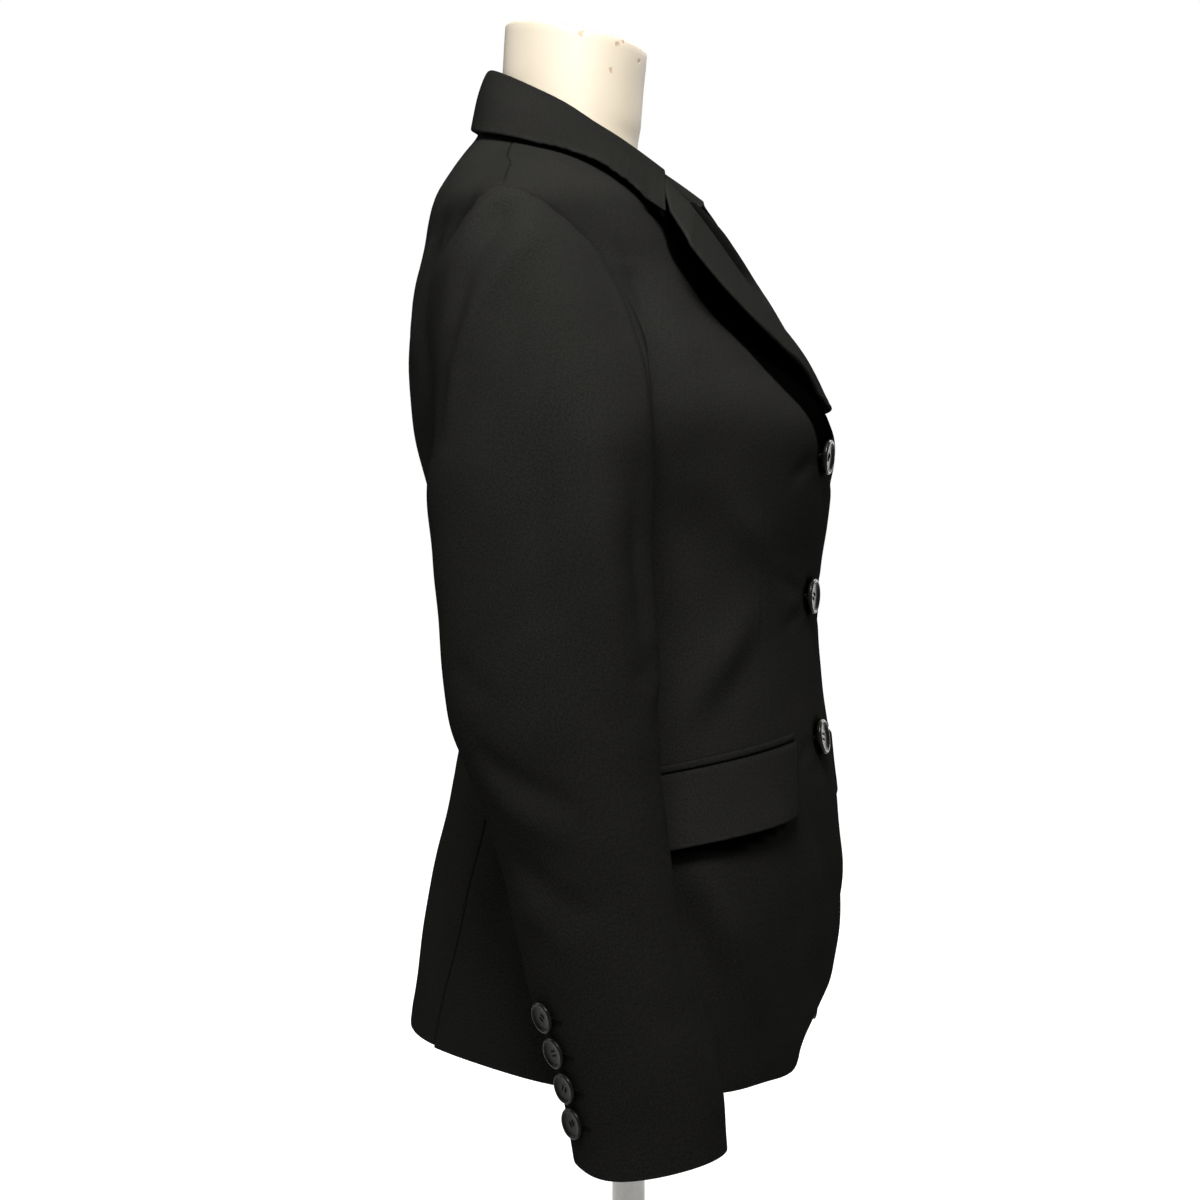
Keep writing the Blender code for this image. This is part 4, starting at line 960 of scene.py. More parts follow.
# ---- finishes ----
class Graph:
    """A node tree with short calls to add and join nodes."""

    def __init__(self, tree: bpy.types.NodeTree) -> None:
        """Start from a tree, keeping what it holds."""
        self.tree = tree

    def feed(self, node: bpy.types.Node, inputs: dict[str | int, object]) -> bpy.types.Node:
        """Set a node's inputs, or link outputs to them.

        Args:
            node: The node.
            inputs: Values or outputs, by the input's name or number.

        Returns:
            The node.
        """
        for key, value in inputs.items():
            if isinstance(value, bpy.types.NodeSocket):
                self.tree.links.new(value, node.inputs[key])
            else:
                node.inputs[key].default_value = value
        return node

    def add(self, kind: str, inputs: dict[str | int, object] | None = None,
            **settings: object) -> bpy.types.Node:
        """Add a node.

        Args:
            kind: The node's type.
            inputs: Values or outputs for its inputs, by name or number.
            settings: Its properties.

        Returns:
            The node.
        """
        node = self.tree.nodes.new(kind)
        for key, value in settings.items():
            setattr(node, key, value)
        return self.feed(node, inputs or {})

    def place(self, kind: str = "Object") -> bpy.types.NodeSocket:
        """Add the coordinates that a pattern follows."""
        return self.add("ShaderNodeTexCoord").outputs[kind]

    def mask(self, name: str) -> bpy.types.NodeSocket:
        """Add the values that a piece's mesh stores under a name."""
        return self.add("ShaderNodeAttribute", attribute_name=name).outputs["Fac"]

    def noise(self, place: object, scale: object, detail: float, output: str = "Fac",
              **inputs: float) -> bpy.types.NodeSocket:
        """Add a noise texture and give back its mask or its colour."""
        settings = {"Vector": place, "Scale": scale, "Detail": detail, **inputs}
        return self.add("ShaderNodeTexNoise", settings).outputs[output]

    def maths(self, operation: str, a: object, b: object = 0.0,
              clamp: bool = False) -> bpy.types.NodeSocket:
        """Add a sum of two values and give back its output."""
        node = self.add("ShaderNodeMath", {0: a, 1: b}, operation=operation, use_clamp=clamp)
        return node.outputs[0]

    def vector(self, operation: str, a: object, b: object) -> bpy.types.Node:
        """Add a sum of two vectors."""
        return self.add("ShaderNodeVectorMath", {0: a, 1: b}, operation=operation)

    def sway(self, place: object, colour: object, reach: float) -> bpy.types.NodeSocket:
        """Move coordinates by a noise's colour."""
        by = self.vector("MULTIPLY", colour, (reach,) * 3).outputs[0]
        return self.vector("ADD", place, by).outputs[0]

    def blend(self, share: object, *colours: object) -> bpy.types.NodeSocket:
        """Mix two colours, given as outputs or as red, green and blue, by a share."""
        a, b = (part if isinstance(part, bpy.types.NodeSocket) else (*part, 1.0)
                for part in colours)
        node = self.add("ShaderNodeMix", {0: share, 6: a, 7: b}, data_type="RGBA")
        return node.outputs[2]

    def ramp(self, value: object, low: float, high: float, start: float = 0.0,
             end: float = 1.0) -> bpy.types.NodeSocket:
        """Carry a value from one range to another, held within it."""
        node = self.add("ShaderNodeMapRange", {0: value, 1: low, 2: high, 3: start, 4: end})
        return node.outputs[0]

    def for_camera(self, others: float, camera: float) -> bpy.types.NodeSocket:
        """Add a strength that differs for the camera's own rays."""
        seen = self.add("ShaderNodeLightPath").outputs["Is Camera Ray"]
        return self.ramp(seen, 0.0, 1.0, others, camera)

    def bump(self, height: object, strength: float, distance: float) -> bpy.types.NodeSocket:
        """Turn a height into a relief for a shader's normal."""
        inputs = {"Height": height, "Strength": strength, "Distance": distance}
        return self.add("ShaderNodeBump", inputs).outputs[0]


def new_group(name: str, inputs: dict[str, float | None],
              outputs: Sequence[str]) -> tuple[Graph, bpy.types.NodeOutputs]:
    """Start a node group that turns a vector and values into masks.

    Args:
        name: The group's name.
        inputs: The value of each input, or None for a vector.
        outputs: The name of each output.

    Returns:
        The group's graph and what its inputs give.
    """
    tree = bpy.data.node_groups.new(name, "ShaderNodeTree")
    for label, value in inputs.items():
        kind = "NodeSocketVector" if value is None else "NodeSocketFloat"
        socket = tree.interface.new_socket(label, in_out="INPUT", socket_type=kind)
        if value is not None:
            socket.default_value = value
    for label in outputs:
        tree.interface.new_socket(label, in_out="OUTPUT", socket_type="NodeSocketFloat")
    graph = Graph(tree)
    return graph, graph.add("NodeGroupInput").outputs


class Effects:
    """The node groups that several finishes share, each built once."""

    def __init__(self) -> None:
        """Build the groups."""
        self.crepe = self.crepe_weave()
        self.wear = self.wear_and_lint()

    @staticmethod
    def crepe_weave() -> bpy.types.NodeTree:
        """The weave of fine crepe: crossing threads broken up by their hard twist."""
        graph, given = new_group(
            "crepe_weave", {"Vector": None, "Threads per metre": 1500.0, "Twist": 0.5},
            ("Mask", "Height"))
        place, threads = given["Vector"], given["Threads per metre"]
        inputs = {"Vector": place, "Scale": threads, "Detail": 3.0, "Roughness": 0.65}
        pebble = graph.add("ShaderNodeTexNoise", inputs).outputs
        moved = graph.sway(place, pebble["Color"], 0.0006)
        pitch = graph.maths("DIVIDE", threads, 3.2)
        warp, weft = (graph.add("ShaderNodeTexWave", {"Vector": moved, "Scale": pitch},
                                bands_direction=axis).outputs["Fac"] for axis in "XY")
        cross = graph.maths("MAXIMUM", warp, weft)
        mixed = {0: given["Twist"], 2: cross, 3: pebble["Fac"]}
        height = graph.add("ShaderNodeMix", mixed).outputs[0]
        melange = graph.noise(place, graph.maths("DIVIDE", threads, 2.0), 4.0, Roughness=0.7)
        tone = graph.maths("ADD", graph.maths("MULTIPLY", height, 0.45), melange)
        graph.add("NodeGroupOutput", {"Mask": graph.ramp(tone, 0.53, 0.93), "Height": height})
        return graph.tree

    @staticmethod
    def wear_and_lint() -> bpy.types.NodeTree:
        """Edge wear and lint: a broken mask along the edges and a few stray fibres."""
        graph, given = new_group("wear_and_lint", {"Vector": None, "Edge": 0.0, "Amount": 0.5},
                                 ("Wear", "Lint"))
        place = given["Vector"]
        broken = graph.ramp(graph.noise(place, 140.0, 5.0), 0.35, 0.7)
        edge = graph.maths("MULTIPLY", given["Edge"], broken)
        wear = graph.maths("MULTIPLY", edge, given["Amount"], clamp=True)
        cell = graph.add("ShaderNodeTexVoronoi", {"Vector": place, "Scale": 95.0})
        speck = graph.ramp(cell.outputs["Distance"], 0.02, 0.07, 1.0, 0.0)
        rare = graph.ramp(graph.noise(place, 23.0, 2.0), 0.60, 0.66)
        graph.add("NodeGroupOutput", {"Wear": wear, "Lint": graph.maths("MULTIPLY", speck, rare)})
        return graph.tree

    def woven(self, graph: Graph, threads: float, twist: float) -> bpy.types.NodeOutputs:
        """Place the weave in a finish, along the cloth's own threads."""
        inputs = {"Vector": graph.place("UV"), "Threads per metre": threads, "Twist": twist}
        return graph.add("ShaderNodeGroup", inputs, node_tree=self.crepe).outputs

    def worn(self, graph: Graph, place: object, amount: float) -> bpy.types.NodeOutputs:
        """Place the wear in a finish, along the piece's marked edges."""
        inputs = {"Vector": place, "Edge": graph.mask("edge"), "Amount": amount}
        return graph.add("ShaderNodeGroup", inputs, node_tree=self.wear).outputs


class Finish(ABC):
    """A finish, made as a material whose shader takes what the finish's patterns give."""

    name: str

    def make(self, effects: Effects) -> bpy.types.Material:
        """Build the material from the shared effects."""
        material = bpy.data.materials.new(self.name)
        material.use_nodes = True
        graph = Graph(material.node_tree)
        shader = material.node_tree.nodes["Principled BSDF"]
        graph.feed(shader, self.inputs(graph, effects))
        return material

    @abstractmethod
    def inputs(self, graph: Graph, effects: Effects) -> dict[str, object]:
        """Build the patterns, and say what each of the shader's inputs takes."""


@dataclass(frozen=True)
class WoolFinish(Finish):
    """Black wool crepe: matt, pebbly, a little greyer on its threads and edges, and darkened by
    painted shade where its piece's shade mask says.
    """

    name: str = "black_wool"
    dark: Colour = (0.0050, 0.0050, 0.0045)
    light: Colour = (0.0160, 0.0159, 0.0144)
    worn: Colour = (0.0170, 0.0166, 0.0152)
    lint: Colour = (0.0500, 0.0480, 0.0450)
    # the colour that the painted shade darkens the cloth to
    deep: Colour = (0.0002, 0.0002, 0.0002)

    def inputs(self, graph: Graph, effects: Effects) -> dict[str, object]:
        """Build the patterns, and say what each of the shader's inputs takes."""
        weave = effects.woven(graph, 1500.0, 0.6)
        place = graph.place()
        wear = effects.worn(graph, place, 0.8)
        patches = graph.ramp(graph.noise(place, 9.0, 3.0), 0.3, 0.7, 0.75, 1.0)
        tone = graph.maths("MULTIPLY", weave["Mask"], patches)
        colour = graph.blend(tone, self.dark, self.light)
        colour = graph.blend(wear["Wear"], colour, self.worn)
        colour = graph.blend(graph.maths("MULTIPLY", wear["Lint"], 0.5), colour, self.lint)
        # painted shade: each piece's shade mask darkens the cloth towards the deep colour
        shade = graph.maths("MULTIPLY", graph.mask("shade"), 0.97, clamp=True)
        return {"Base Color": graph.blend(shade, colour, self.deep),
                "Roughness": graph.ramp(weave["Height"], 0.2, 0.8, 0.95, 0.80),
                "Specular IOR Level": 0.0,
                "Normal": graph.bump(weave["Height"], 0.55, 0.0004)}


@dataclass(frozen=True)
class LiningFinish(Finish):
    """Black satin lining with faint lengthwise ribs."""

    name: str = "black_lining"
    dark: Colour = (0.007, 0.007, 0.008)
    light: Colour = (0.016, 0.016, 0.018)

    def inputs(self, graph: Graph, effects: Effects) -> dict[str, object]:
        """Build the patterns, and say what each of the shader's inputs takes."""
        weave = effects.woven(graph, 3200.0, 0.1)
        return {"Base Color": graph.blend(weave["Mask"], self.dark, self.light),
                "Roughness": graph.ramp(weave["Height"], 0.0, 1.0, 0.34, 0.48),
                "Normal": graph.bump(weave["Height"], 0.1, 0.0002)}


@dataclass(frozen=True)
class HornFinish(Finish):
    """Polished smoky horn with cloudy streaks and a worn rim."""

    name: str = "dark_horn"
    dark: Colour = (0.0034, 0.0031, 0.0023)
    light: Colour = (0.0084, 0.0072, 0.0049)
    rim: Colour = (0.020, 0.017, 0.0122)

    def inputs(self, graph: Graph, effects: Effects) -> dict[str, object]:
        """Build the patterns, and say what each of the shader's inputs takes."""
        place = graph.place()
        streaks = {"Vector": place, "Scale": (1.0, 1.0, 0.45)}
        stretch = graph.add("ShaderNodeMapping", streaks).outputs[0]
        cloud = graph.ramp(graph.noise(stretch, 260.0, 5.0, Distortion=1.6), 0.38, 0.68)
        colour = graph.blend(cloud, self.dark, self.light)
        scratch = graph.noise(place, 1900.0, 2.0)
        wear = effects.worn(graph, place, 0.4)["Wear"]
        return {"Base Color": graph.blend(wear, colour, self.rim),
                "Roughness": graph.ramp(scratch, 0.3, 0.7, 0.20, 0.34),
                "Specular IOR Level": 0.13, "Coat Weight": 0.02,
                "Coat Roughness": 0.08,
                "Normal": graph.bump(scratch, 0.08, 0.0002)}


@dataclass(frozen=True)
class ThreadFinish(Finish):
    """Black buttonhole and sewing thread, twisted and slightly shiny."""

    name: str = "black_thread"
    dark: Colour = (0.0012, 0.0012, 0.0012)
    light: Colour = (0.0050, 0.0046, 0.0044)

    def inputs(self, graph: Graph, effects: Effects) -> dict[str, object]:
        """Build the patterns, and say what each of the shader's inputs takes."""
        wave = {"Vector": graph.place(), "Scale": 620.0, "Distortion": 2.0}
        twist = graph.add("ShaderNodeTexWave", wave, bands_direction="DIAGONAL").outputs["Fac"]
        return {"Base Color": graph.blend(twist, self.dark, self.light),
                "Roughness": 0.8, "Specular IOR Level": 0.08,
                "Normal": graph.bump(twist, 0.5, 0.0003)}


@dataclass(frozen=True)
class FormFinish(Finish):
    """Cream coat of the dress form, chipped along the top edge of its neck."""

    name: str = "cream_shell"
    coat: Colour = (0.35, 0.305, 0.236)
    chipped: Colour = (0.24, 0.176, 0.12)
    chips: tuple[tuple[float, float, float, float], ...] = (   # place and radius of the larger ones
        (-0.0439, 0.0212, 0.8341, 0.0024), (-0.0259, -0.0028, 0.8323, 0.0018),
        (-0.0297, 0.0004, 0.8296, 0.0020), (-0.0101, -0.0091, 0.8223, 0.0022),
        (-0.0321, 0.0039, 0.8120, 0.0018))
    ragged: float = 0.0036

    def chip_mask(self, graph: Graph, place: object, effects: Effects) -> bpy.types.NodeSocket:
        """Where the coat is chipped off: small chips along the edge and the larger ones."""
        wear = effects.worn(graph, place, 1.0)["Wear"]
        cells = {"Vector": place, "Scale": 120.0, "Randomness": 1.0}
        spots = graph.add("ShaderNodeTexVoronoi", cells).outputs["Distance"]
        chip = graph.maths("MULTIPLY", graph.mask("edge"), graph.ramp(spots, 0.12, 0.17, 1.0, 0.0))
        chip = graph.maths("MULTIPLY", chip, graph.ramp(wear, 0.15, 0.4))
        moved = graph.sway(place, graph.noise(place, 420.0, 2.0, "Color"), self.ragged)
        for *at, radius in self.chips:
            centre = tuple(part + self.ragged / 2 for part in at)
            gap = graph.vector("DISTANCE", moved, centre).outputs["Value"]
            chip = graph.maths("MAXIMUM", chip, graph.ramp(gap, radius * 0.6, radius, 1.0, 0.0))
        return chip

    def inputs(self, graph: Graph, effects: Effects) -> dict[str, object]:
        """Build the patterns, and say what each of the shader's inputs takes."""
        place = graph.place()
        cloud = graph.ramp(graph.noise(place, 14.0, 4.0), 0.35, 0.65)
        colour = graph.blend(cloud, tuple(part * 0.93 for part in self.coat), self.coat)
        chip = self.chip_mask(graph, place, effects)
        grain = graph.noise(place, 600.0, 3.0)
        height = graph.maths("SUBTRACT", graph.maths("MULTIPLY", grain, 0.2), chip)
        return {"Base Color": graph.blend(chip, colour, self.chipped),
                "Roughness": graph.ramp(grain, 0.3, 0.7, 0.50, 0.66),
                "Normal": graph.bump(height, 0.35, 0.0006)}


@dataclass(frozen=True)
class PaintFinish(Finish):
    """Off-white stove paint with a trace of orange peel."""

    name: str = "white_paint"
    low: Colour = (0.84, 0.83, 0.81)
    high: Colour = (0.90, 0.89, 0.87)
    worn: Colour = (0.55, 0.54, 0.53)

    def inputs(self, graph: Graph, effects: Effects) -> dict[str, object]:
        """Build the patterns, and say what each of the shader's inputs takes."""
        place = graph.place()
        peel = graph.noise(place, 320.0, 2.0)
        colour = graph.blend(graph.ramp(peel, 0.3, 0.7), self.low, self.high)
        wear = effects.worn(graph, place, 0.3)["Wear"]
        return {"Base Color": graph.blend(wear, colour, self.worn),
                "Roughness": graph.ramp(peel, 0.3, 0.7, 0.32, 0.42),
                "Normal": graph.bump(peel, 0.12, 0.0002)}


@dataclass(frozen=True)
class FloorFinish(Finish):
    """Pale floor that looks plain white to the camera."""

    name: str = "pale_floor"
    low: Colour = (0.60,) * 3
    high: Colour = (0.62,) * 3
    glow: float = 0.8

    def inputs(self, graph: Graph, effects: Effects) -> dict[str, object]:
        """Build the patterns, and say what each of the shader's inputs takes."""
        grain = graph.noise(graph.place(), 30.0, 3.0)
        return {"Base Color": graph.blend(grain, self.low, self.high),
                "Roughness": 0.9, "Specular IOR Level": 0.1,
                "Emission Color": (1.0, 1.0, 1.0, 1.0),
                "Emission Strength": graph.for_camera(0.0, self.glow)}


class Finishes:
    """All the materials of the jacket, its form and the floor."""

    def __init__(self) -> None:
        """Make the materials."""
        effects = Effects()
        self.wool = WoolFinish().make(effects)
        self.lining = LiningFinish().make(effects)
        self.horn = HornFinish().make(effects)
        self.thread = ThreadFinish().make(effects)
        self.shell = FormFinish().make(effects)
        self.paint = PaintFinish().make(effects)
        self.floor = FloorFinish().make(effects)


# ---- the jacket's body ----
@dataclass(frozen=True)
class Cut:
    """A piece of cloth: its flat size before it was sewn, and how it is held."""

    width: float
    length: float
    area: float
    held: Held = Held.FOLDED
    lined: bool = False

    def sew(self, node: str, faces: tuple[Array, Array], masks: dict[str, Array],
            finishes: Finishes, *rests_on: str) -> None:
        """Make the piece that stands for a node.

        Args:
            node: The node's name.
            faces: The grids of its outer and inner face.
            masks: Values on the grid, stored by name.
            finishes: The materials.
            rests_on: The pieces that it rests on; not used.
        """
        materials = (finishes.wool, finishes.lining) if self.lined else (finishes.wool,)
        piece = make_shell(f"{node}_cloth", *faces, materials, masks)
        settle(piece, WoolFinish.name, node)


def single_layer(points: Array, normals: Array, lift: Array, fall: Array,
                 rise: Array) -> tuple[Array, Array]:
    """The outer and inner face of a single layer, from its lift and its borders' falls."""
    return (points + normals * (lift - fall)[..., None],
            points + normals * (lift - CLOTH + rise)[..., None])


def creased(points: Array, folds: Sequence[Fold], surface: Surface) -> Array:
    """The lift of a grid's points by the drape and the creases.

    Args:
        points: The grid.
        folds: The creases.
        surface: Turns the creases' pairs into points.

    Returns:
        The lift at each point.
    """
    flat = points.reshape(-1, 3)
    lift = drape(flat)
    for fold in folds:
        lift += fold.lift(flat, surface)
    return lift.reshape(points.shape[:-1])


def body_creased(points: Array, side: Side) -> Array:
    """The lift of points on one side of the body."""
    folds = BODY_FOLDS if side is Side.RIGHT else shifted(BODY_FOLDS, *LEFT_BODY_FOLDS)
    return creased(points, folds, lambda turn, height: body_point(side.value * turn, height))


@dataclass
class BodyPanel:
    """One panel of the jacket's body, over the body's surface."""

    part: str
    side: Side
    cut: Callable[[Array, Array], Array]
    flat: Cut
    borders: Borders = Borders()
    spacing: float = 0.0030
    lapel_shade_foot: Two = (0.553, 0.560)
    lapel_shade_top: Two = (0.703, 0.709)
    lapel_shade_blur: float = 0.5    # degrees
    left_shade_less: float = 8.0
    wedge_depth: float = 0.0105
    wedge_grows: float = 0.28
    wedge_shape: Two = (0.6, 2.2)    # how it grows and how it dies out
    wedge_blur: float = 0.0012
    wedge_upper: Two = (-0.006, -0.004)
    wedge_dark: Two = (0.95, 0.4)    # on the right and on the left
    button_shade: Two = (0.0115, 0.0145)
    button_dark: float = 0.95
    button_forward: float = 0.003
    turn_length: float = 0.0027      # a degree's length at the front
    calm: Two = (0.735, 0.755)       # the creases nearly die out, by the neck
    calmed: float = 0.85                             # by this share
    least_lift: Two = (-0.006, -0.0008)   # below and above the chest
    chest: Two = (0.670, 0.700)
    armhole_reach: Two = (1.0, 1.2)
    dart_turn: float = 35.5
    dart_foot: Two = (0.372, 0.384)
    dart_top: Two = (0.500, 0.532)
    dart_bow: Three = (1.5, 0.40, 18)   # degrees, height and bend
    dart_degree: float = 0.0024      # a degree's length at the dart
    dart_ridge: Three = (0.00035, 0.0026, 0.0018)   # height, place, width
    dart_groove: Two = (0.0009, 0.0008)      # depth and width
    head: tuple[Two, ...] = (                # where a sleeve's head is set in:
        (0.575, 0.60), (0.708, 0.714), (50, 58), (126, 134))   # from and to, in height and turn
    head_flat: float = 0.75

    @property
    def right(self) -> bool:
        """Whether this is a right panel."""
        return self.side is Side.RIGHT

    def lapel_shade(self, turn: Array, height: Array) -> Array:
        """The deep shade that the lapel keeps on the front."""
        reach = LAPEL_SHADE.column(height) - (0.0 if self.right else self.left_shade_less)
        blur = self.lapel_shade_blur
        return ((1 - step(-blur, blur, turn - reach)) * step(*self.lapel_shade_foot, height)
                * (1 - step(*self.lapel_shade_top, height)))

    def flap_shade(self, turn: Array, height: Array) -> Array:
        """The wedge of shade below the pocket flap."""
        u = (turn - POCKET_FRONT_TURN - FLAP_SLANT) / (POCKET_BACK_TURN - POCKET_FRONT_TURN)
        below = (mix(POCKET_FRONT_HEIGHT, POCKET_BACK_HEIGHT, u) - JET_DEPTH - FLAP_DEPTH
                 - height)
        power, dies = self.wedge_shape
        shape = np.clip(u / self.wedge_grows, 0, 1) ** power * np.exp(-dies * u ** 2)
        deep = np.where((u > 0) & (u < 1), self.wedge_depth * shape, 0.0)
        wedge = 1 - step(-self.wedge_blur, self.wedge_blur, below - deep)
        return (wedge * step(*self.wedge_upper, below) * (deep > 0.001)
                * self.wedge_dark[0 if self.right else 1])

    def shade(self, turn: Array, height: Array) -> Array:
        """The deep shade that the pieces above the front keep on it."""
        if self.part != "front":
            return np.zeros(turn.shape)
        shade = np.maximum(self.lapel_shade(turn, height), self.flap_shade(turn, height))
        for at in FRONT_BUTTON_HEIGHTS if self.right else ():
            middle = turn_at(np.array(-BUTTON_LINE + self.button_forward), np.array(at))
            away = np.hypot((turn - middle) * self.turn_length, height - at)
            dark = self.button_dark * (1 - step(*self.button_shade, away))
            shade = np.maximum(shade, dark)
        return shade

    def under_the_other(self, points: Array, normals: Array, turn: Array, height: Array) -> Array:
        """Sink the left front under the right one and move its corner back.

        Args:
            points: The grid of points.
            normals: Their normals.
            turn: Their turns.
            height: Their heights.

        Returns:
            The moved points.
        """
        share = ((1 - step(UNDERLAP_TURN * UNDERLAP_FULL, UNDERLAP_TURN, turn))
                 * (1 - step(*UNDERLAP_RISES, height)))
        points = points - normals * (UNDERLAP_DEPTH * share)[..., None]
        corner = 1 - step(LEFT_CORNER_TURN, SIDE_SEAM_TURN, turn)
        corner = corner * (1 - step(CORNER_HEIGHT, LEFT_CORNER_TOP, height))
        points[..., 1] += LEFT_CORNER_BACK * corner
        return points

    def lift(self, points: Array, turn: Array, height: Array) -> Array:
        """How far the cloth lies off the smooth body.

        Args:
            points: The grid of points.
            turn: Their turns.
            height: Their heights.

        Returns:
            The lift at each point.
        """
        lift = body_creased(points, self.side) * (1 - self.calmed * step(*self.calm, height))
        lift = np.maximum(lift, mix(*self.least_lift, step(*self.chest, height)))
        hole = np.hypot((turn - SHOULDER_TURN) / ARMHOLE_HALF_TURN,
                        (height - ARMHOLE_HEIGHT) / ARMHOLE_HALF_HEIGHT)
        lift = np.where(lift < 0, lift * step(*self.armhole_reach, hole), lift)
        return lift + self.dart(turn, height) if self.part == "front" else lift

    def dart(self, turn: Array, height: Array) -> Array:
        """The front dart: a sewn line from below the bust to the pocket."""
        bow, middle, bend = self.dart_bow
        line = self.dart_turn + bow * np.sin((height - middle) * bend)
        gap = np.abs(turn - line) * self.dart_degree
        share = step(*self.dart_foot, height) * (1 - step(*self.dart_top, height))
        (ridge, place, wide), (groove, narrow) = self.dart_ridge, self.dart_groove
        return share * (ridge * np.exp(-((gap - place) / wide) ** 2)
                        - groove * np.exp(-(gap / narrow) ** 2))

    def build(self, finishes: Finishes) -> None:
        """Make the panel."""
        place = self.cut(shares(self.flat.width, self.spacing),
                         shares(self.flat.length, self.spacing))
        turn, height = place[..., 0], place[..., 1]
        signed = self.side.value * turn
        points, normals = body_point(signed, height), body_normal(signed, height)
        if self.part == "front" and not self.right:
            points = self.under_the_other(points, normals, turn, height)
        lift = self.lift(points, turn, height)
        fall, rise, edge, seam = self.borders.falls(points)
        low, high, front, back = self.head
        set_in = step(*low, height) * (1 - step(*high, height)) * step(*front, turn)
        fall = fall * (1 - self.head_flat * set_in * (1 - step(*back, turn)))
        masks = {"edge": edge, "shade": np.maximum(self.shade(turn, height), seam * (1 - set_in))}
        self.flat.sew(f"{self.part}_{self.side.word}",
                      single_layer(points, normals, lift, fall, rise), masks, finishes,
                      "dress_form")


@dataclass
class Body:
    """The fronts, side panels and backs."""

    front: Cut = Cut(0.21, 0.62, 0.112, Held.DRAPED, True)
    side: Cut = Cut(0.13, 0.42, 0.042, Held.DRAPED, True)
    back: Cut = Cut(0.19, 0.62, 0.102, Held.DRAPED, True)

    def build(self, finishes: Finishes) -> None:
        """Make the six panels."""
        free_front = Borders(start_u=Edge.FREE)
        for side in Side:
            cut = left_front_cut if side is Side.LEFT else front_cut
            BodyPanel("front", side, cut, self.front, free_front, 0.0028).build(finishes)
            BodyPanel("side", side, side_cut, self.side).build(finishes)
            BodyPanel("back", side, back_cut, self.back).build(finishes)


# ---- sleeves ----
@dataclass
class Sleeve:
    """A two-piece sleeve with its cuff."""

    side: Side
    top: Cut = Cut(0.21, 0.60, 0.100, Held.HUNG, True)
    under: Cut = Cut(0.15, 0.56, 0.066, Held.HUNG, True)
    spacing: Two = (0.0030, 0.0028)
    gathers: float = 0.00035
    gather_rows: tuple[Two, ...] = ((0.0, 0.008), (0.02, 0.07))   # from and to
    gather_waves: tuple[int, int, int] = (38, 3, 5)   # their number, and how uneven they are
    calm: float = 0.03   # the creases start beyond this share of the length

    def surface(self, around: Array, share: Array) -> Array:
        """A point of the sleeve for a crease's path."""
        return sleeve_point(self.side.value, around, share)

    def ease(self, around: Array, share: Array) -> Array:
        """The small gathers where the sleeve's head is eased into the armhole."""
        angle = np.radians(around)
        (start, end), (waves, sway, turns) = self.gather_rows, self.gather_waves
        head = np.maximum(np.cos(angle), 0) * step(*start, share) * (1 - step(*end, share))
        return self.gathers * head * np.sin(angle * waves + sway * np.sin(angle * turns))

    def strip(self, name: str, start: float, end: float, flat: Cut, finishes: Finishes) -> None:
        """Make one lengthwise strip of the sleeve between two seams.

        Args:
            name: The strip's name, without its side.
            start: Where it starts, in degrees around.
            end: Where it ends.
            flat: Its flat size.
            finishes: The materials.
        """
        sign = self.side.value
        u, v = shares(flat.width, self.spacing[0]), shares(flat.length, self.spacing[1])
        around, share = np.meshgrid(mix(start, end, u), v, indexing="ij")
        points, normals = sleeve_point(sign, around, share), sleeve_normal(sign, around, share)
        folds = RIGHT_SLEEVE_FOLDS
        if self.side is Side.LEFT:
            folds = shifted(folds, *LEFT_SLEEVE_FOLDS)
        lift = creased(points, folds, self.surface) * step(0.0, self.calm, share)
        lift = lift + self.ease(around, share)
        borders = Borders(start_v=Edge.SET_IN, end_v=Edge.FREE)
        fall, rise, edge, seam = borders.falls(points)
        flat.sew(f"{name}_{self.side.word}", single_layer(points, normals, lift, fall, rise),
                 {"edge": edge, "shade": seam}, finishes, "dress_form")

    def build(self, finishes: Finishes) -> None:
        """Make the top sleeve and the under sleeve."""
        front, back = SLEEVE_FRONT_SEAM, SLEEVE_BACK_SEAM
        self.strip("top_sleeve", back - 360.0, front, self.top, finishes)
        self.strip("under_sleeve", front, back, self.under, finishes)


# ---- collar and lapels ----
def through(points: Array, place: Array) -> Array:
    """Smooth curves through points.

    Args:
        points: Control points, as curve, number and coordinate.
        place: Places from 0 to the number of spans.

    Returns:
        Points, as curve, place and coordinate.
    """
    last = points.shape[1] - 1
    index = np.minimum(place.astype(int), last - 1)
    t = (place - index)[None, :, None]
    padded = np.concatenate([points[:, :1] * 2 - points[:, 1:2], points,
                             points[:, -1:] * 2 - points[:, -2:-1]], 1)
    before, low, high, after = (padded[:, index + shift] for shift in range(4))
    return (low * 2 + (high - before) * t + (before * 2 - low * 5 + high * 4 - after) * t ** 2
            + (low * 3 - before - high * 3 + after) * t ** 3) * 0.5


def table_point(table: Table, side: float, share: float) -> Array:
    """One point of a table of x, y and height, on a side."""
    x, y, height = table.at(np.array(share))
    return np.array([side * x, y + FOOT_TO_SHEET, height])


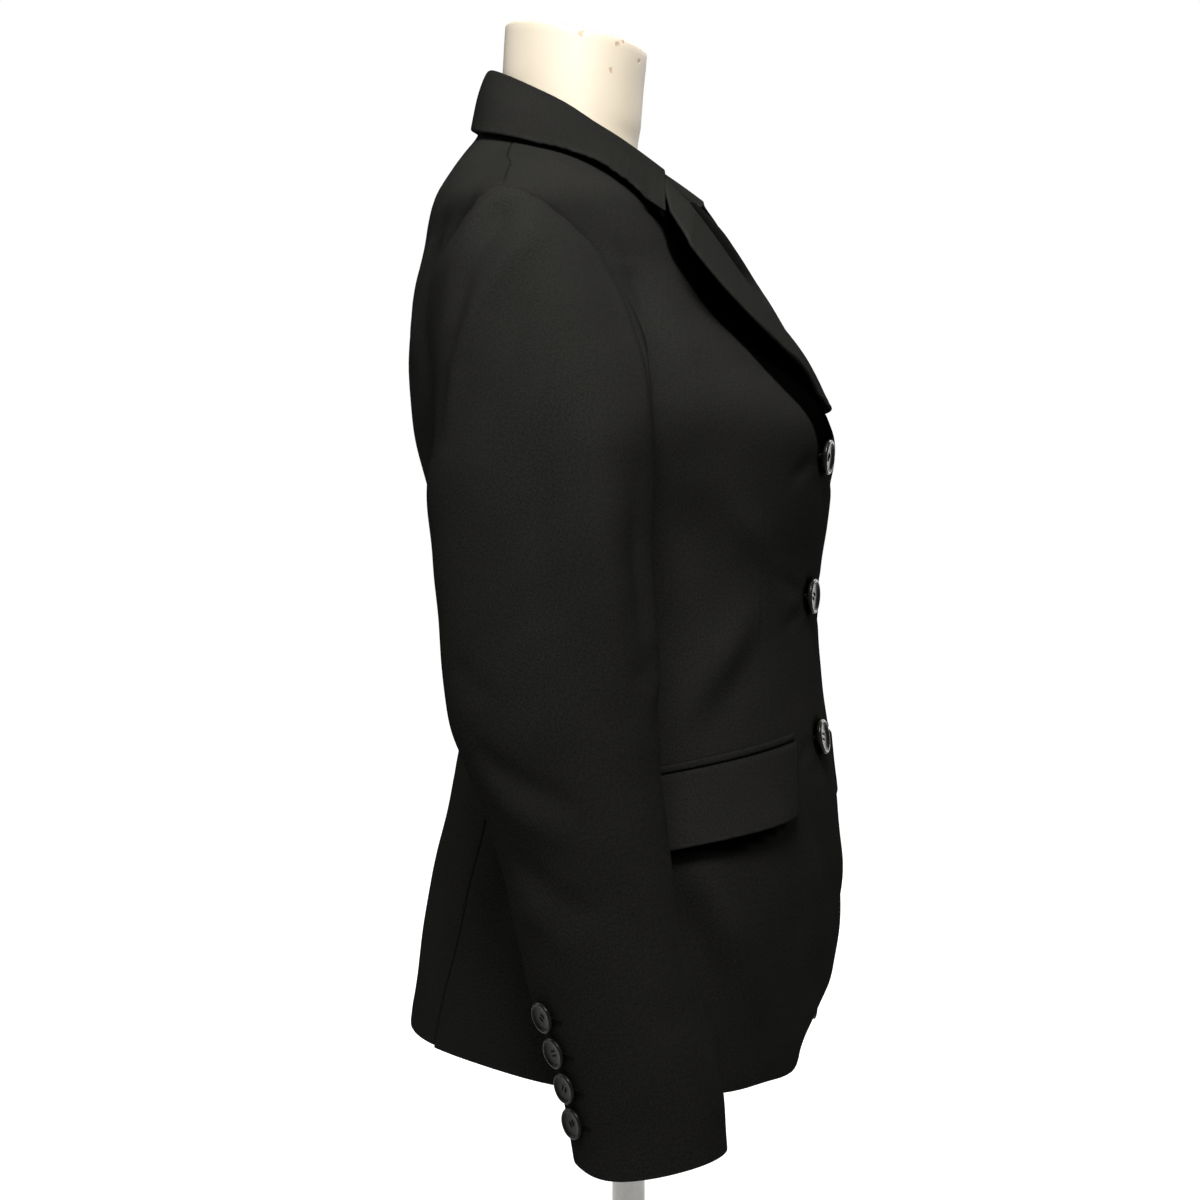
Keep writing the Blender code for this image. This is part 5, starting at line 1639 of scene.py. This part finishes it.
@dataclass
class Collar:
    """The turned-down collar, from gorge to gorge."""

    flat: Cut = Cut(0.47, 0.105, 0.033)
    columns: int = 150
    rows: int = 56
    shade: float = 0.22   # painted shade that darkens the whole collar a little
    edge_rises: Two = (0.45, 0.8)   # shares where its edge lifts off more
    stand: float = 0.55   # the stand's middle point, as a share of its height
    bulge: Three = (0.5, 0.6, 0.5)   # the fall's middle: share, out, down

    def control(self, place: float) -> Array:
        """The section's points at a place from -1, the right gorge, to 1, the left one."""
        side, share = (-1.0 if place < 0 else 1.0), min(abs(place), 1.0)
        turn = float(COLLAR_FOOT.column(np.array(share)))
        height = float(NECK_SEAM.column(np.array(turn)))
        foot = (body_point(side * turn, height)
                + body_normal(side * turn, height) * COLLAR_SEAM_LIFT)
        foot = foot + [0.0, 0.0, COLLAR_SEAM_RISE]
        fold = table_point(COLLAR_FOLD, side, share)
        lift = float(mix(COLLAR_EDGE_LIFT, EDGE_LIFT, step(*self.edge_rises, share)))
        edge = off_body(table_point(COLLAR_EDGE, side, share), lift)
        out = unit(np.array([edge[0] - fold[0], edge[1] - fold[1], 0.0])) * COLLAR_ROLL
        drop = np.array([0.0, 0.0, COLLAR_ROLL])
        place, wide, deep = self.bulge
        return np.array([foot, mix(foot, fold - out - drop, self.stand), fold - out - drop, fold,
                         fold + out - drop, mix(fold, edge, place) + out * wide + drop * deep,
                         edge])

    def build(self, finishes: Finishes) -> None:
        """Make the collar."""
        places = mix(-1.0, 1.0, shares(self.flat.width, self.flat.width / self.columns))
        section = np.array([self.control(float(place)) for place in places])
        across = shares(self.flat.length, self.flat.length / self.rows)
        borders = Borders(Edge.FREE, Edge.FREE, Edge.SEAM, Edge.FREE)
        spans = section.shape[1] - 1
        faces, edge = borders.doubled(through(section, across * spans), -1.0)
        # painted shade over the whole collar
        masks = {"edge": edge, "shade": np.full(edge.shape, self.shade)}
        self.flat.sew("collar", faces, masks, finishes, "back_right_cloth", "back_left_cloth")


@dataclass
class Lapel:
    """A lapel, rolled back from the front's edge."""

    side: Side
    flat: Cut = Cut(0.100, 0.170, 0.0120)
    left_lift: float = 0.0045
    spacing: float = 0.0022
    leaf: Three = (0.25, 0.35, 0.05)   # how the leaf leaves its roll
    hollow_shade: float = 0.85   # how dark the painted shade inside the left one's roll is
    hollow_shade_across: Two = (0.25, 0.55)
    hollow_shade_along: Two = (0.3, 0.55)

    def line(self, share: float, across: Array) -> Array:
        """The middle layer across the lapel at one place along its roll line.

        Args:
            share: The place along the roll line.
            across: Places from the roll line to the lapel's edge.

        Returns:
            The points.
        """
        sign = self.side.value
        left = self.side is Side.LEFT
        bottom = LEFT_LAPEL_BOTTOM if left else RIGHT_LAPEL_BOTTOM
        height = np.array(mix(bottom, LAPEL_TOP, share))
        turn = turn_at(-FRONT_EDGE.column(height), height)
        start, normal = body_point(sign * turn, height), body_normal(sign * turn, height)
        forward = unit(body_point(sign * (turn - 1.0), height) - start)
        start = start + forward * LAPEL_SEAM_FORWARD - normal * CLOTH * LAPEL_SEAM_INSET
        edge_share = mix(LEFT_LAPEL_SKIP, 1.0, share) if left else share
        edge = table_point(LAPEL_EDGE, sign, edge_share)
        if left:
            turn = turn_at(np.array(edge[0]), np.array(edge[2]))
            edge = body_point(turn, edge[2]) + body_normal(turn, edge[2]) * self.left_lift
        edge = off_body(edge, EDGE_LIFT)
        roll = LAPEL_ROLL * mix(LAPEL_FOOT_ROLL, 1.0, step(0.0, LAPEL_ROLL_GROWS, share))
        angle = LAPEL_ROLL_END * np.minimum(across / LAPEL_ROLL_SHARE, 1.0)[:, None]
        bend = start + forward * roll * np.sin(angle) + normal * roll * (1 - np.cos(angle))
        top = bend[-1]
        heading = forward * math.cos(LAPEL_ROLL_END) + normal * math.sin(LAPEL_ROLL_END)
        reach = float(np.linalg.norm(edge - top))
        t = np.clip((across - LAPEL_ROLL_SHARE) / (1 - LAPEL_ROLL_SHARE), 0, 1)[:, None]
        first, last, off = self.leaf
        leaf = bezier(top, top + heading * reach * first,
                      mix(edge, top, last) + normal * reach * off, edge, t)
        return np.where(across[:, None] <= LAPEL_ROLL_SHARE, bend, leaf)

    def build(self, finishes: Finishes) -> None:
        """Make the lapel."""
        across, along = (shares(size, self.spacing)
                         for size in (self.flat.width, self.flat.length))
        lines = np.array([self.line(float(share), across) for share in along])
        borders = Borders(Edge.SEAM, Edge.FREE, Edge.FREE, Edge.FREE)
        faces, edge = borders.doubled(lines.transpose(1, 0, 2), -self.side.value)
        # painted shade in the hollow of the left lapel's roll
        hollow_shade = (self.hollow_shade * (1 - step(*self.hollow_shade_across, across))[:, None]
                  * step(*self.hollow_shade_along, along)[None])
        word = self.side.word
        self.flat.sew(f"lapel_{word}", faces,
                      {"edge": edge, "shade": hollow_shade * (self.side is Side.LEFT)}, finishes,
                      f"front_{word}_cloth")


# ---- pockets ----
@dataclass
class Pocket:
    """A jetted pocket with its flap."""

    side: Side
    jet: Cut = Cut(0.150, 0.0100, 0.00120)
    flap: Cut = Cut(0.150, 0.052, 0.0072, Held.HUNG, True)
    spacing: Two = (0.0030, 0.0026)
    jet_rows: int = 13
    jet_inset: float = 0.0002
    jet_sunk: float = 0.0006
    jet_lift: float = 0.0003
    jet_ends: Two = (0.012, 0.4)   # how long the flat ends are, and how high
    jet_groove_shade: Three = (0.6, 0.06, 0.22)   # painted shade in the grooves along the jet's edges: how dark, and from where to where
    belly: float = 0.0015
    gap: float = 0.0003       # between the jet and the flap
    flap_lift: float = 0.0006
    bow: Three = (0.5, 1.0, 0.7)
    hang: float = 1.5
    corner: Three = (0.0035, 0.05, 2.2)   # the round of its front corner
    tuck: Two = (0.0012, 0.06)   # how it is drawn in under the jet
    flap_top_shade: Two = (0.5, 0.02)   # painted shade along the flap's top, under the jet: how dark and how wide

    def face(self, u: Array, down: Array, lift: Array) -> Array:
        """Points over the hip.

        Args:
            u: Places from the pocket's front end.
            down: Metres below its upper edge.
            lift: Distance from the creased cloth.

        Returns:
            The points.
        """
        turn = mix(POCKET_FRONT_TURN, POCKET_BACK_TURN, u)
        height = mix(POCKET_FRONT_HEIGHT, POCKET_BACK_HEIGHT, u) - down
        turn = turn + FLAP_SLANT * (1 - u) * np.clip((down - JET_DEPTH) / FLAP_DEPTH, 0, 1)
        signed = self.side.value * turn
        points = body_point(signed, height)
        lift = body_creased(points, self.side) + lift
        return points + body_normal(signed, height) * lift[..., None]

    def build_jet(self, u: Array, finishes: Finishes) -> None:
        """Make the jet, from the places along the pocket."""
        grid_u, grid_v = np.meshgrid(u, np.linspace(0, 1, self.jet_rows), indexing="ij")
        down = mix(JET_DEPTH, self.jet_inset, grid_v)
        belly = np.sin(np.pi * grid_v) ** 0.5
        reach, least = self.jet_ends
        ends = step(0.0, reach, grid_u) * (1 - step(1 - reach, 1.0, grid_u))
        high = self.jet_lift + self.belly * belly * mix(least, 1.0, ends)
        outer = self.face(grid_u, down, high)
        inner = self.face(grid_u, down, np.full(down.shape, -self.jet_sunk))
        # painted shade in the grooves above and below the jet
        dark, *across = self.jet_groove_shade
        line = dark * (1 - step(*across, np.minimum(grid_v, 1 - grid_v)))
        word = self.side.word
        self.jet.sew(f"pocket_jet_{word}", (outer, inner), {"edge": 1 - belly, "shade": line},
                     finishes, f"front_{word}_cloth")

    def build_flap(self, u: Array, finishes: Finishes) -> None:
        """Make the flap, from the places along the pocket."""
        stand_off = FLAP_STAND_OFF * (1.0 if self.side is Side.RIGHT else LEFT_FLAP_SHARE)
        fall = 1 - shares(self.flap.length, self.spacing[1])
        grid_u, fall = np.meshgrid(u, fall, indexing="ij")
        rise, reach, power = self.corner
        corner = rise * np.maximum(0, 1 - grid_u / reach) ** power * fall
        down = JET_DEPTH + self.gap + (FLAP_DEPTH - corner) * fall
        least, more, lean = self.bow
        bow = least + more * np.sin(np.pi * np.clip(grid_u, 0, 1) ** lean)
        lift = self.flap_lift + stand_off * fall ** self.hang * bow
        tuck = self.tuck[0] * (1 - step(0.0, self.tuck[1], fall))
        outer = self.face(grid_u, down, lift + DOUBLE_CLOTH - tuck)
        inner = self.face(grid_u, down, lift)
        middle, half = (outer + inner) / 2, (outer - inner) / 2
        across, along = run_along(middle, 0), run_along(middle, 1)
        gap = np.minimum(np.minimum(across, across[-1:] - across), along)
        half = half * thinned(gap)[..., None]
        # painted shade along the flap's top, where it tucks under the jet
        dark, reach = self.flap_top_shade
        masks = {"edge": edge_wear(gap), "shade": dark * (1 - step(0.0, reach, fall))}
        word = self.side.word
        self.flap.sew(f"pocket_flap_{word}", (middle + half, middle - half), masks, finishes,
                      f"front_{word}_cloth")

    def build(self, finishes: Finishes) -> None:
        """Make the jet and the flap."""
        along = shares(self.jet.width, self.spacing[0])
        self.build_jet(along, finishes)
        self.build_flap(along, finishes)


# ---- buttons and buttonholes ----
@dataclass
class Button:
    """A four-hole horn button with its thread and shank."""

    name: str
    radius: float
    place: Array
    axis: Array
    spin: float
    lift: float = 0.0010
    sides: int = 40
    profile: tuple[Two, ...] = (   # radius and height, as shares of the radius
        (0.00, 0.00), (0.55, 0.00), (0.82, 0.03), (0.95, 0.10), (1.00, 0.19), (0.985, 0.27),
        (0.93, 0.325), (0.86, 0.335), (0.80, 0.305), (0.75, 0.25), (0.66, 0.215), (0.40, 0.195),
        (0.00, 0.19))
    hole_out: float = 0.15
    hole: Three = (0.085, 0.075, 0.03)   # both radii and the depth
    stitch: Three = (0.055, 0.19, 0.05)
    rim: float = 0.8   # the rim is worn beyond this share of the radius

    def cone(self, bm: bmesh.types.BMesh, place: Three, segments: int, size: Three) -> None:
        """Add a short upright cone, of a lower radius, an upper radius and a depth."""
        bmesh.ops.create_cone(bm, cap_ends=True, segments=segments, radius1=size[0],
                              radius2=size[1], depth=size[2], matrix=Matrix.Translation(place))

    def threads(self, bm: bmesh.types.BMesh) -> None:
        """Add the holes, the two stitches between them and the shank."""
        r = self.radius
        before = set(bm.faces)
        hole = tuple(part * r for part in self.hole)
        stitch = Matrix.Diagonal((*(part * r for part in self.stitch), 1))
        for x in (-self.hole_out, self.hole_out):
            for y in (-self.hole_out, self.hole_out):
                self.cone(bm, (x * r, y * r, 0.185 * r), 12, hole)
            at = Matrix.Translation((x * r, 0.0, 0.20 * r)) @ stitch
            bmesh.ops.create_uvsphere(bm, u_segments=10, v_segments=8, radius=1.0, matrix=at)
        self.cone(bm, (0.0, 0.0, -self.lift * 0.6), 14, (0.24 * r, 0.2 * r, self.lift * 1.4))
        for face in set(bm.faces) - before:
            face.material_index = 1

    def build(self, finishes: Finishes) -> None:
        """Make the button in its place."""
        bm = bmesh.new()
        profile = [(r * self.radius, h * self.radius) for r, h in self.profile]
        spin_profile(bm, profile, self.sides, 0.00002)
        self.threads(bm)
        rims = [math.hypot(vert.co.x, vert.co.y) / self.radius for vert in bm.verts]
        turn = Vector(self.axis).to_track_quat("Z", "Y").to_matrix().to_4x4()
        origin = Matrix.Translation(Vector(self.place + self.axis * self.lift))
        mesh = to_mesh(bm, self.name)
        mesh.transform(origin @ turn @ Matrix.Rotation(self.spin, 4, "Z"))
        set_values(mesh, "edge", np.array(rims) > self.rim)
        piece = finish(f"{self.name}_horn", mesh, (finishes.horn, finishes.thread), 40.0)
        settle(piece, HornFinish.name, self.name)


@dataclass
class Buttonhole:
    """A worked buttonhole: a raised oval of thread round a slit."""

    name: str
    half_length: float
    half_width: float
    place: Callable[[float, float, float], Array]
    thread: float = 0.0005
    core: float = 0.2   # the thread's radius while the oval is still a round ring of 1

    def build(self, finishes: Finishes) -> None:
        """Make the oval of thread and lay it on the cloth."""
        bm = bmesh.new()
        upright = Matrix.Translation((1.0, 0.0, 0.0)) @ Matrix.Rotation(math.pi / 2, 4, "X")
        ring = bmesh.ops.create_circle(bm, segments=8, radius=self.core, matrix=upright)["verts"]
        edges = list({edge for vert in ring for edge in vert.link_edges})
        bmesh.ops.spin(bm, geom=ring + edges, cent=(0, 0, 0), axis=(0, 0, 1), angle=math.tau,
                       steps=44, use_merge=True)
        bmesh.ops.remove_doubles(bm, verts=bm.verts[:], dist=0.001)
        for vert in bm.verts:
            flat = Vector((vert.co.x, vert.co.y, 0.0))
            core = flat.normalized()
            extra = (flat.length - 1.0) * self.thread / self.core
            vert.co = self.place(core.x * (self.half_length + extra),
                                 core.y * (self.half_width + extra),
                                 vert.co.z * self.thread / self.core)
        settle(finish(self.name, to_mesh(bm, self.name), (finishes.thread,)), WoolFinish.name)


@dataclass
class Buttons:
    """All the buttons, and the buttonholes beside them."""

    front_radius: float = 0.0115
    sleeve_radius: float = 0.0092
    front_shift: float = 0.0025      # how far a button sits beside the solids' one
    front_aside: float = 0.0025      # how far a buttonhole's middle lies from its button's
    front_girth: float = 0.155       # the body's radius at the front
    front_spin: Two = (0.4, 0.3)
    front_hole: Two = (0.0100, 0.0012)   # half length and half width
    front_hole_lift: float = 0.0002
    sleeve_aside: float = 0.006
    sleeve_girth: float = 0.042
    sleeve_length: float = 0.56
    sleeve_spin: float = 0.9
    sleeve_lift: float = 0.0009
    sleeve_hole: Two = (0.0060, 0.0007)
    sleeve_hole_lift: float = 0.0001
    sleeve_thread: float = 0.0004

    def front(self, finishes: Finishes) -> None:
        """Make the front buttons and their buttonholes."""
        for number, height in enumerate(FRONT_BUTTON_HEIGHTS, 1):
            turn = turn_at(np.array(BUTTON_LINE - self.front_shift), np.array(height))
            first, more = self.front_spin
            Button(f"front_button_{number}", self.front_radius, body_point(turn, height),
                   body_normal(turn, height), first + more * number).build(finishes)

            def place(x: float, y: float, z: float, turn: Array = turn,
                      height: float = height) -> Array:
                """Lay a point of the buttonhole on the front."""
                at = turn - math.degrees((x + self.front_aside) / self.front_girth)
                lift = z + self.front_hole_lift
                return body_point(at, height + y) + body_normal(at, height + y) * lift
            Buttonhole(f"front_buttonhole_{number}", *self.front_hole, place).build(finishes)

    def sleeve(self, side: Side, finishes: Finishes) -> None:
        """Make one cuff's buttons and the mock buttonholes beside them."""
        around = np.array(SLEEVE_BUTTON_AROUND)
        arm_length = SLEEVE_CAP_BASE - float(cuff_height(around))
        sign = side.value
        for number, height in enumerate(SLEEVE_BUTTON_HEIGHTS, 1):
            share = mix(CAP_SHARE, 1.0, (SLEEVE_CAP_BASE - height) / arm_length)
            Button(f"sleeve_button_{side.word}_{number}", self.sleeve_radius,
                   sleeve_point(sign, around, share), sleeve_normal(sign, around, np.array(share)),
                   self.sleeve_spin * number, self.sleeve_lift).build(finishes)

            def place(x: float, y: float, z: float, share: float = share) -> Array:
                """Lay a point of the mock buttonhole on the sleeve."""
                at = np.array(SLEEVE_BUTTON_AROUND
                              + math.degrees((x + self.sleeve_aside) / self.sleeve_girth))
                down = np.array(share + y / self.sleeve_length)
                lift = z + self.sleeve_hole_lift
                return sleeve_point(sign, at, down) + sleeve_normal(sign, at, down) * lift
            Buttonhole(f"cuff_buttonhole_{side.word}_{number}", *self.sleeve_hole, place,
                       self.sleeve_thread).build(finishes)

    def build(self, finishes: Finishes) -> None:
        """Make every button."""
        self.front(finishes)
        for side in Side:
            self.sleeve(side, finishes)


# ---- dress form and stand ----
@dataclass
class DressForm:
    """The smooth limbless form, from its flat foot to the slanted top of its neck."""

    sides: int = 128
    rows: int = 150
    foot_rows: int = 3
    top_rows: int = 5
    round_rows: int = 3
    rim: float = 0.0022
    slant_foot: float = 0.80   # the neck's top starts to slant at this height

    def skin(self, turn: Array, height: Array) -> Array:
        """The form's skin at turns and heights."""
        near_ridge = 1 - step(12.0, 40.0, np.abs(np.abs(turn) - SHOULDER_TURN))
        gap = mix(FORM_GAP, SHOULDER_GAP, near_ridge * step(0.690, 0.712, height))
        gap = gap + FORM_FOOT_GAP * (1 - step(0.20, 0.33, height))
        torso = body_point(turn, height) - body_normal(turn, height) * gap[..., None]
        torso[..., 2] = np.maximum(torso[..., 2], FORM_BOTTOM)
        middle = NECK_MIDDLE + NECK_LEAN * (NECK_TOP_BACK - height)
        neck = ring_point(turn, NECK_HALF_WIDTH, middle - NECK_HALF_DEPTH,
                          middle + NECK_HALF_DEPTH, middle, 2.0, height)
        return mix(torso, neck, np.clip(NECK_SHARE.column(height), 0, 1)[..., None])

    def shape(self, turn: Array, row: Array) -> Array:
        """The form's points, from its foot's middle to its top's.

        Args:
            turn: Degrees from the front.
            row: The number of each point's row, from 0 at the foot.

        Returns:
            The points.
        """
        top = (NECK_TOP_FRONT + NECK_TOP_BACK) / 2
        body_rows = self.rows - self.foot_rows - self.top_rows
        share = np.clip((row - self.foot_rows) / body_rows, 0, 1)
        points = self.skin(turn, mix(FORM_BOTTOM, top - self.rim, share))
        centre = np.array([0.0, NECK_MIDDLE + FOOT_TO_SHEET, 0.0])
        over = np.clip(row - self.foot_rows - body_rows, 0, None)
        angle = np.clip(over / self.round_rows, 0, 1) * math.pi / 2
        inward = unit((centre - points) * [1, 1, 0])
        points += inward * (self.rim * (1 - np.cos(angle)))[:, None]
        points[:, 2] += self.rim * np.sin(angle)
        flat_rows = self.top_rows + 1 - self.round_rows
        flat = np.clip((over - self.round_rows) / flat_rows, 0, 1)[:, None]
        middle = np.concatenate([np.tile(centre[:2], (len(points), 1)), points[:, 2:]], 1)
        points = mix(points, middle, flat)
        under = np.clip(1 - row / self.foot_rows, 0, 1)[:, None]
        points = mix(points, np.array([0.0, 0.0, FORM_BOTTOM]), under)
        slant = (NECK_TOP_BACK - NECK_TOP_FRONT) / 2 / NECK_HALF_DEPTH
        near_top = step(self.slant_foot, top - self.rim, points[:, 2])
        points[:, 2] += near_top * slant * (points[:, 1] - FOOT_TO_SHEET - NECK_MIDDLE)
        return points

    def rim_mask(self, row: Array) -> Array:
        """Where the top edge is chipped: on its round, and weaker on the two rows below."""
        last = self.rows - self.top_rows
        over = np.clip(row - last, 0, None)
        round_off = np.where((over > 0) & (over < self.top_rows), 1 - np.abs(over - 1.5) / 4, 0)
        return round_off + 0.6 * ((row > last - 2) & (over == 0))

    def build(self, finishes: Finishes) -> None:
        """Make the form's closed body."""
        bm = bmesh.new()
        bmesh.ops.create_uvsphere(bm, u_segments=self.sides, v_segments=self.rows + 1, radius=1.0)
        ball = np.array([vert.co for vert in bm.verts])
        row = np.arccos(np.clip(-ball[:, 2], -1, 1)) / math.pi * (self.rows + 1)
        row = np.rint(row).astype(int)
        turn = np.degrees(np.arctan2(ball[:, 0], -ball[:, 1]))
        for vert, point in zip(bm.verts, self.shape(turn, row)):
            vert.co = point
        mesh = to_mesh(bm, "dress_form")
        set_values(mesh, "edge", self.rim_mask(row))
        piece = finish("dress_form_shell", mesh, (finishes.shell,), 50.0)
        settle(piece, FormFinish.name, "dress_form")


@dataclass
class Stand:
    """The post, its ferrule under the form and the round foot, turned in one."""

    ferrule_radius: float = 0.019
    ferrule_height: float = 0.022
    sides: int = 96
    rim: float = 0.005
    foot_profile: tuple[Two, ...] = (   # from the foot's edge, and height
        (-0.0015, 0.0), (0.0, 0.0015), (0.0, FOOT_THICKNESS - 0.004),
        (-0.0012, FOOT_THICKNESS - 0.0012), (-0.004, FOOT_THICKNESS))
    post_profile: tuple[Two, ...] = (   # from the post's side and the foot's top
        (0.013, 0.001), (0.006, 0.004), (0.004, 0.009), (0.0, 0.011))

    def profile(self) -> list[Two]:
        """The stand's outline as radius and height, from the floor to the form."""
        top = FORM_BOTTOM - 0.0003
        low, wide = top - self.ferrule_height, self.ferrule_radius
        return [(0.0, 0.0), *((FOOT_RADIUS + out, height) for out, height in self.foot_profile),
                *((POST_RADIUS + out, FOOT_THICKNESS + up) for out, up in self.post_profile),
                (POST_RADIUS, low), (wide - 0.001, low), (wide, low + 0.001),
                (wide, top - 0.003), (wide + 0.006, top - 0.0015), (wide + 0.006, top),
                (0.0, top)]

    def build(self, finishes: Finishes) -> None:
        """Make the stand."""
        bm = bmesh.new()
        spin_profile(bm, self.profile(), self.sides, 0.00001)
        mesh = to_mesh(bm, "stand")
        radii = np.array([math.hypot(vert.co.x, vert.co.y) for vert in mesh.vertices])
        set_values(mesh, "edge", radii > FOOT_RADIUS - self.rim)
        piece = finish("stand_post", mesh, (finishes.paint,), 35.0)
        settle(piece, PaintFinish.name, "stand")


# ---- floor, light and camera ----
def aim(way: Vector) -> Euler:
    """The turn of a lamp or camera that looks along a way."""
    return way.to_track_quat("-Z", "Y").to_euler()


@dataclass(frozen=True)
class Lamp:
    """A soft square lamp that the camera doesn't see."""

    name: str
    place: Three
    towards: Three
    size: float
    power: float
    spread: float = 180.0   # the width of its beam, in degrees

    def hang(self) -> None:
        """Put the lamp in its place."""
        data = bpy.data.lights.new(self.name, "AREA")
        data.size, data.energy = self.size, self.power
        data.spread = math.radians(self.spread)
        lamp = link(bpy.data.objects.new(self.name, data))
        lamp.location = self.place
        lamp.rotation_euler = aim(Vector(self.towards) - Vector(self.place))
        lamp.visible_camera = False


TARGET = (0.0, 0.020, 0.46)   # the middle of the photograph
LAMPS = (
    Lamp("key", (-0.84, -0.24, 1.50), (0.3, 0.3, 1.0), 0.5, 22.5, 120.0),
    Lamp("fill", (0.2, 1.7, 1.3), TARGET, 1.0, 10.0),
    Lamp("far_side", (1.3, -0.7, 1.6), TARGET, 0.8, 20.0),
    Lamp("shoulder", (-0.16, -0.14, 1.70), (-0.13, -0.02, 0.75), 0.25, 0.35, 60.0),
    Lamp("glint", (1.5, -0.5, 0.5), (0.0, -0.1, 0.5), 0.8, 2.5, 120.0),
)


@dataclass
class Studio:
    """A pale floor, soft light from all round and the camera of the photograph."""

    azimuth: float = -75.0
    distance: float = 1.5
    lens: float = 66.18
    floor_radius: float = 60.0
    floor_drop: float = 0.0005
    room: float = 0.20
    ceiling: float = 0.85
    ceiling_way: Three = (1.5, -0.35, -2.1)
    ceiling_width: float = 40.0   # degrees

    def floor(self, finishes: Finishes) -> None:
        """Lay the floor."""
        bm = bmesh.new()
        bmesh.ops.create_circle(bm, cap_ends=True, segments=96, radius=self.floor_radius)
        mesh = bpy.data.meshes.new("floor")
        bm.to_mesh(mesh)
        bm.free()
        piece = finish("floor", mesh, (finishes.floor,))
        piece.location.z = -self.floor_drop

    def world(self) -> None:
        """Light the room evenly."""
        world = bpy.data.worlds.new("studio")
        bpy.context.scene.world = world
        world.use_nodes = True
        graph = Graph(world.node_tree)
        graph.feed(world.node_tree.nodes["Background"],
                   {"Color": (1.0, 1.0, 1.0, 1.0),
                    "Strength": graph.for_camera(self.room, 1.0)})

    def sun(self) -> None:
        """Add the broad, soft light of the studio's ceiling."""
        data = bpy.data.lights.new("ceiling", "SUN")
        data.energy, data.angle = self.ceiling, math.radians(self.ceiling_width)
        link(bpy.data.objects.new("ceiling", data)).rotation_euler = aim(Vector(self.ceiling_way))

    def camera(self) -> None:
        """Set the camera where the photograph was taken from."""
        data = bpy.data.cameras.new("camera")
        data.lens, data.sensor_width, data.clip_end = self.lens, 36.0, 100.0
        camera = link(bpy.data.objects.new("camera", data))
        angle = math.radians(self.azimuth)
        back = Vector((math.sin(angle), -math.cos(angle), 0.0))
        camera.location = Vector(TARGET) + back * self.distance
        camera.rotation_euler = aim(-back)
        bpy.context.scene.camera = camera

    def build(self, finishes: Finishes) -> None:
        """Set up the studio."""
        self.floor(finishes)
        self.world()
        self.sun()
        for lamp in LAMPS:
            lamp.hang()
        self.camera()
        settings = bpy.context.scene.view_settings
        settings.view_transform, settings.look = "Standard", "None"


def main() -> None:
    """Build every piece of the jacket, its form and the studio, in order."""
    logging.basicConfig(level=logging.INFO, format="%(name)s %(message)s")
    for piece in list(bpy.data.objects):
        if piece.type in {"CAMERA", "LIGHT"}:
            bpy.data.objects.remove(piece, do_unlink=True)
    finishes = Finishes()
    Studio().build(finishes)
    DressForm().build(finishes)
    Stand().build(finishes)
    Body().build(finishes)
    for side in Side:
        Sleeve(side).build(finishes)
        Lapel(side).build(finishes)
        Pocket(side).build(finishes)
    Collar().build(finishes)
    Buttons().build(finishes)


if __name__ == "__main__":
    main()
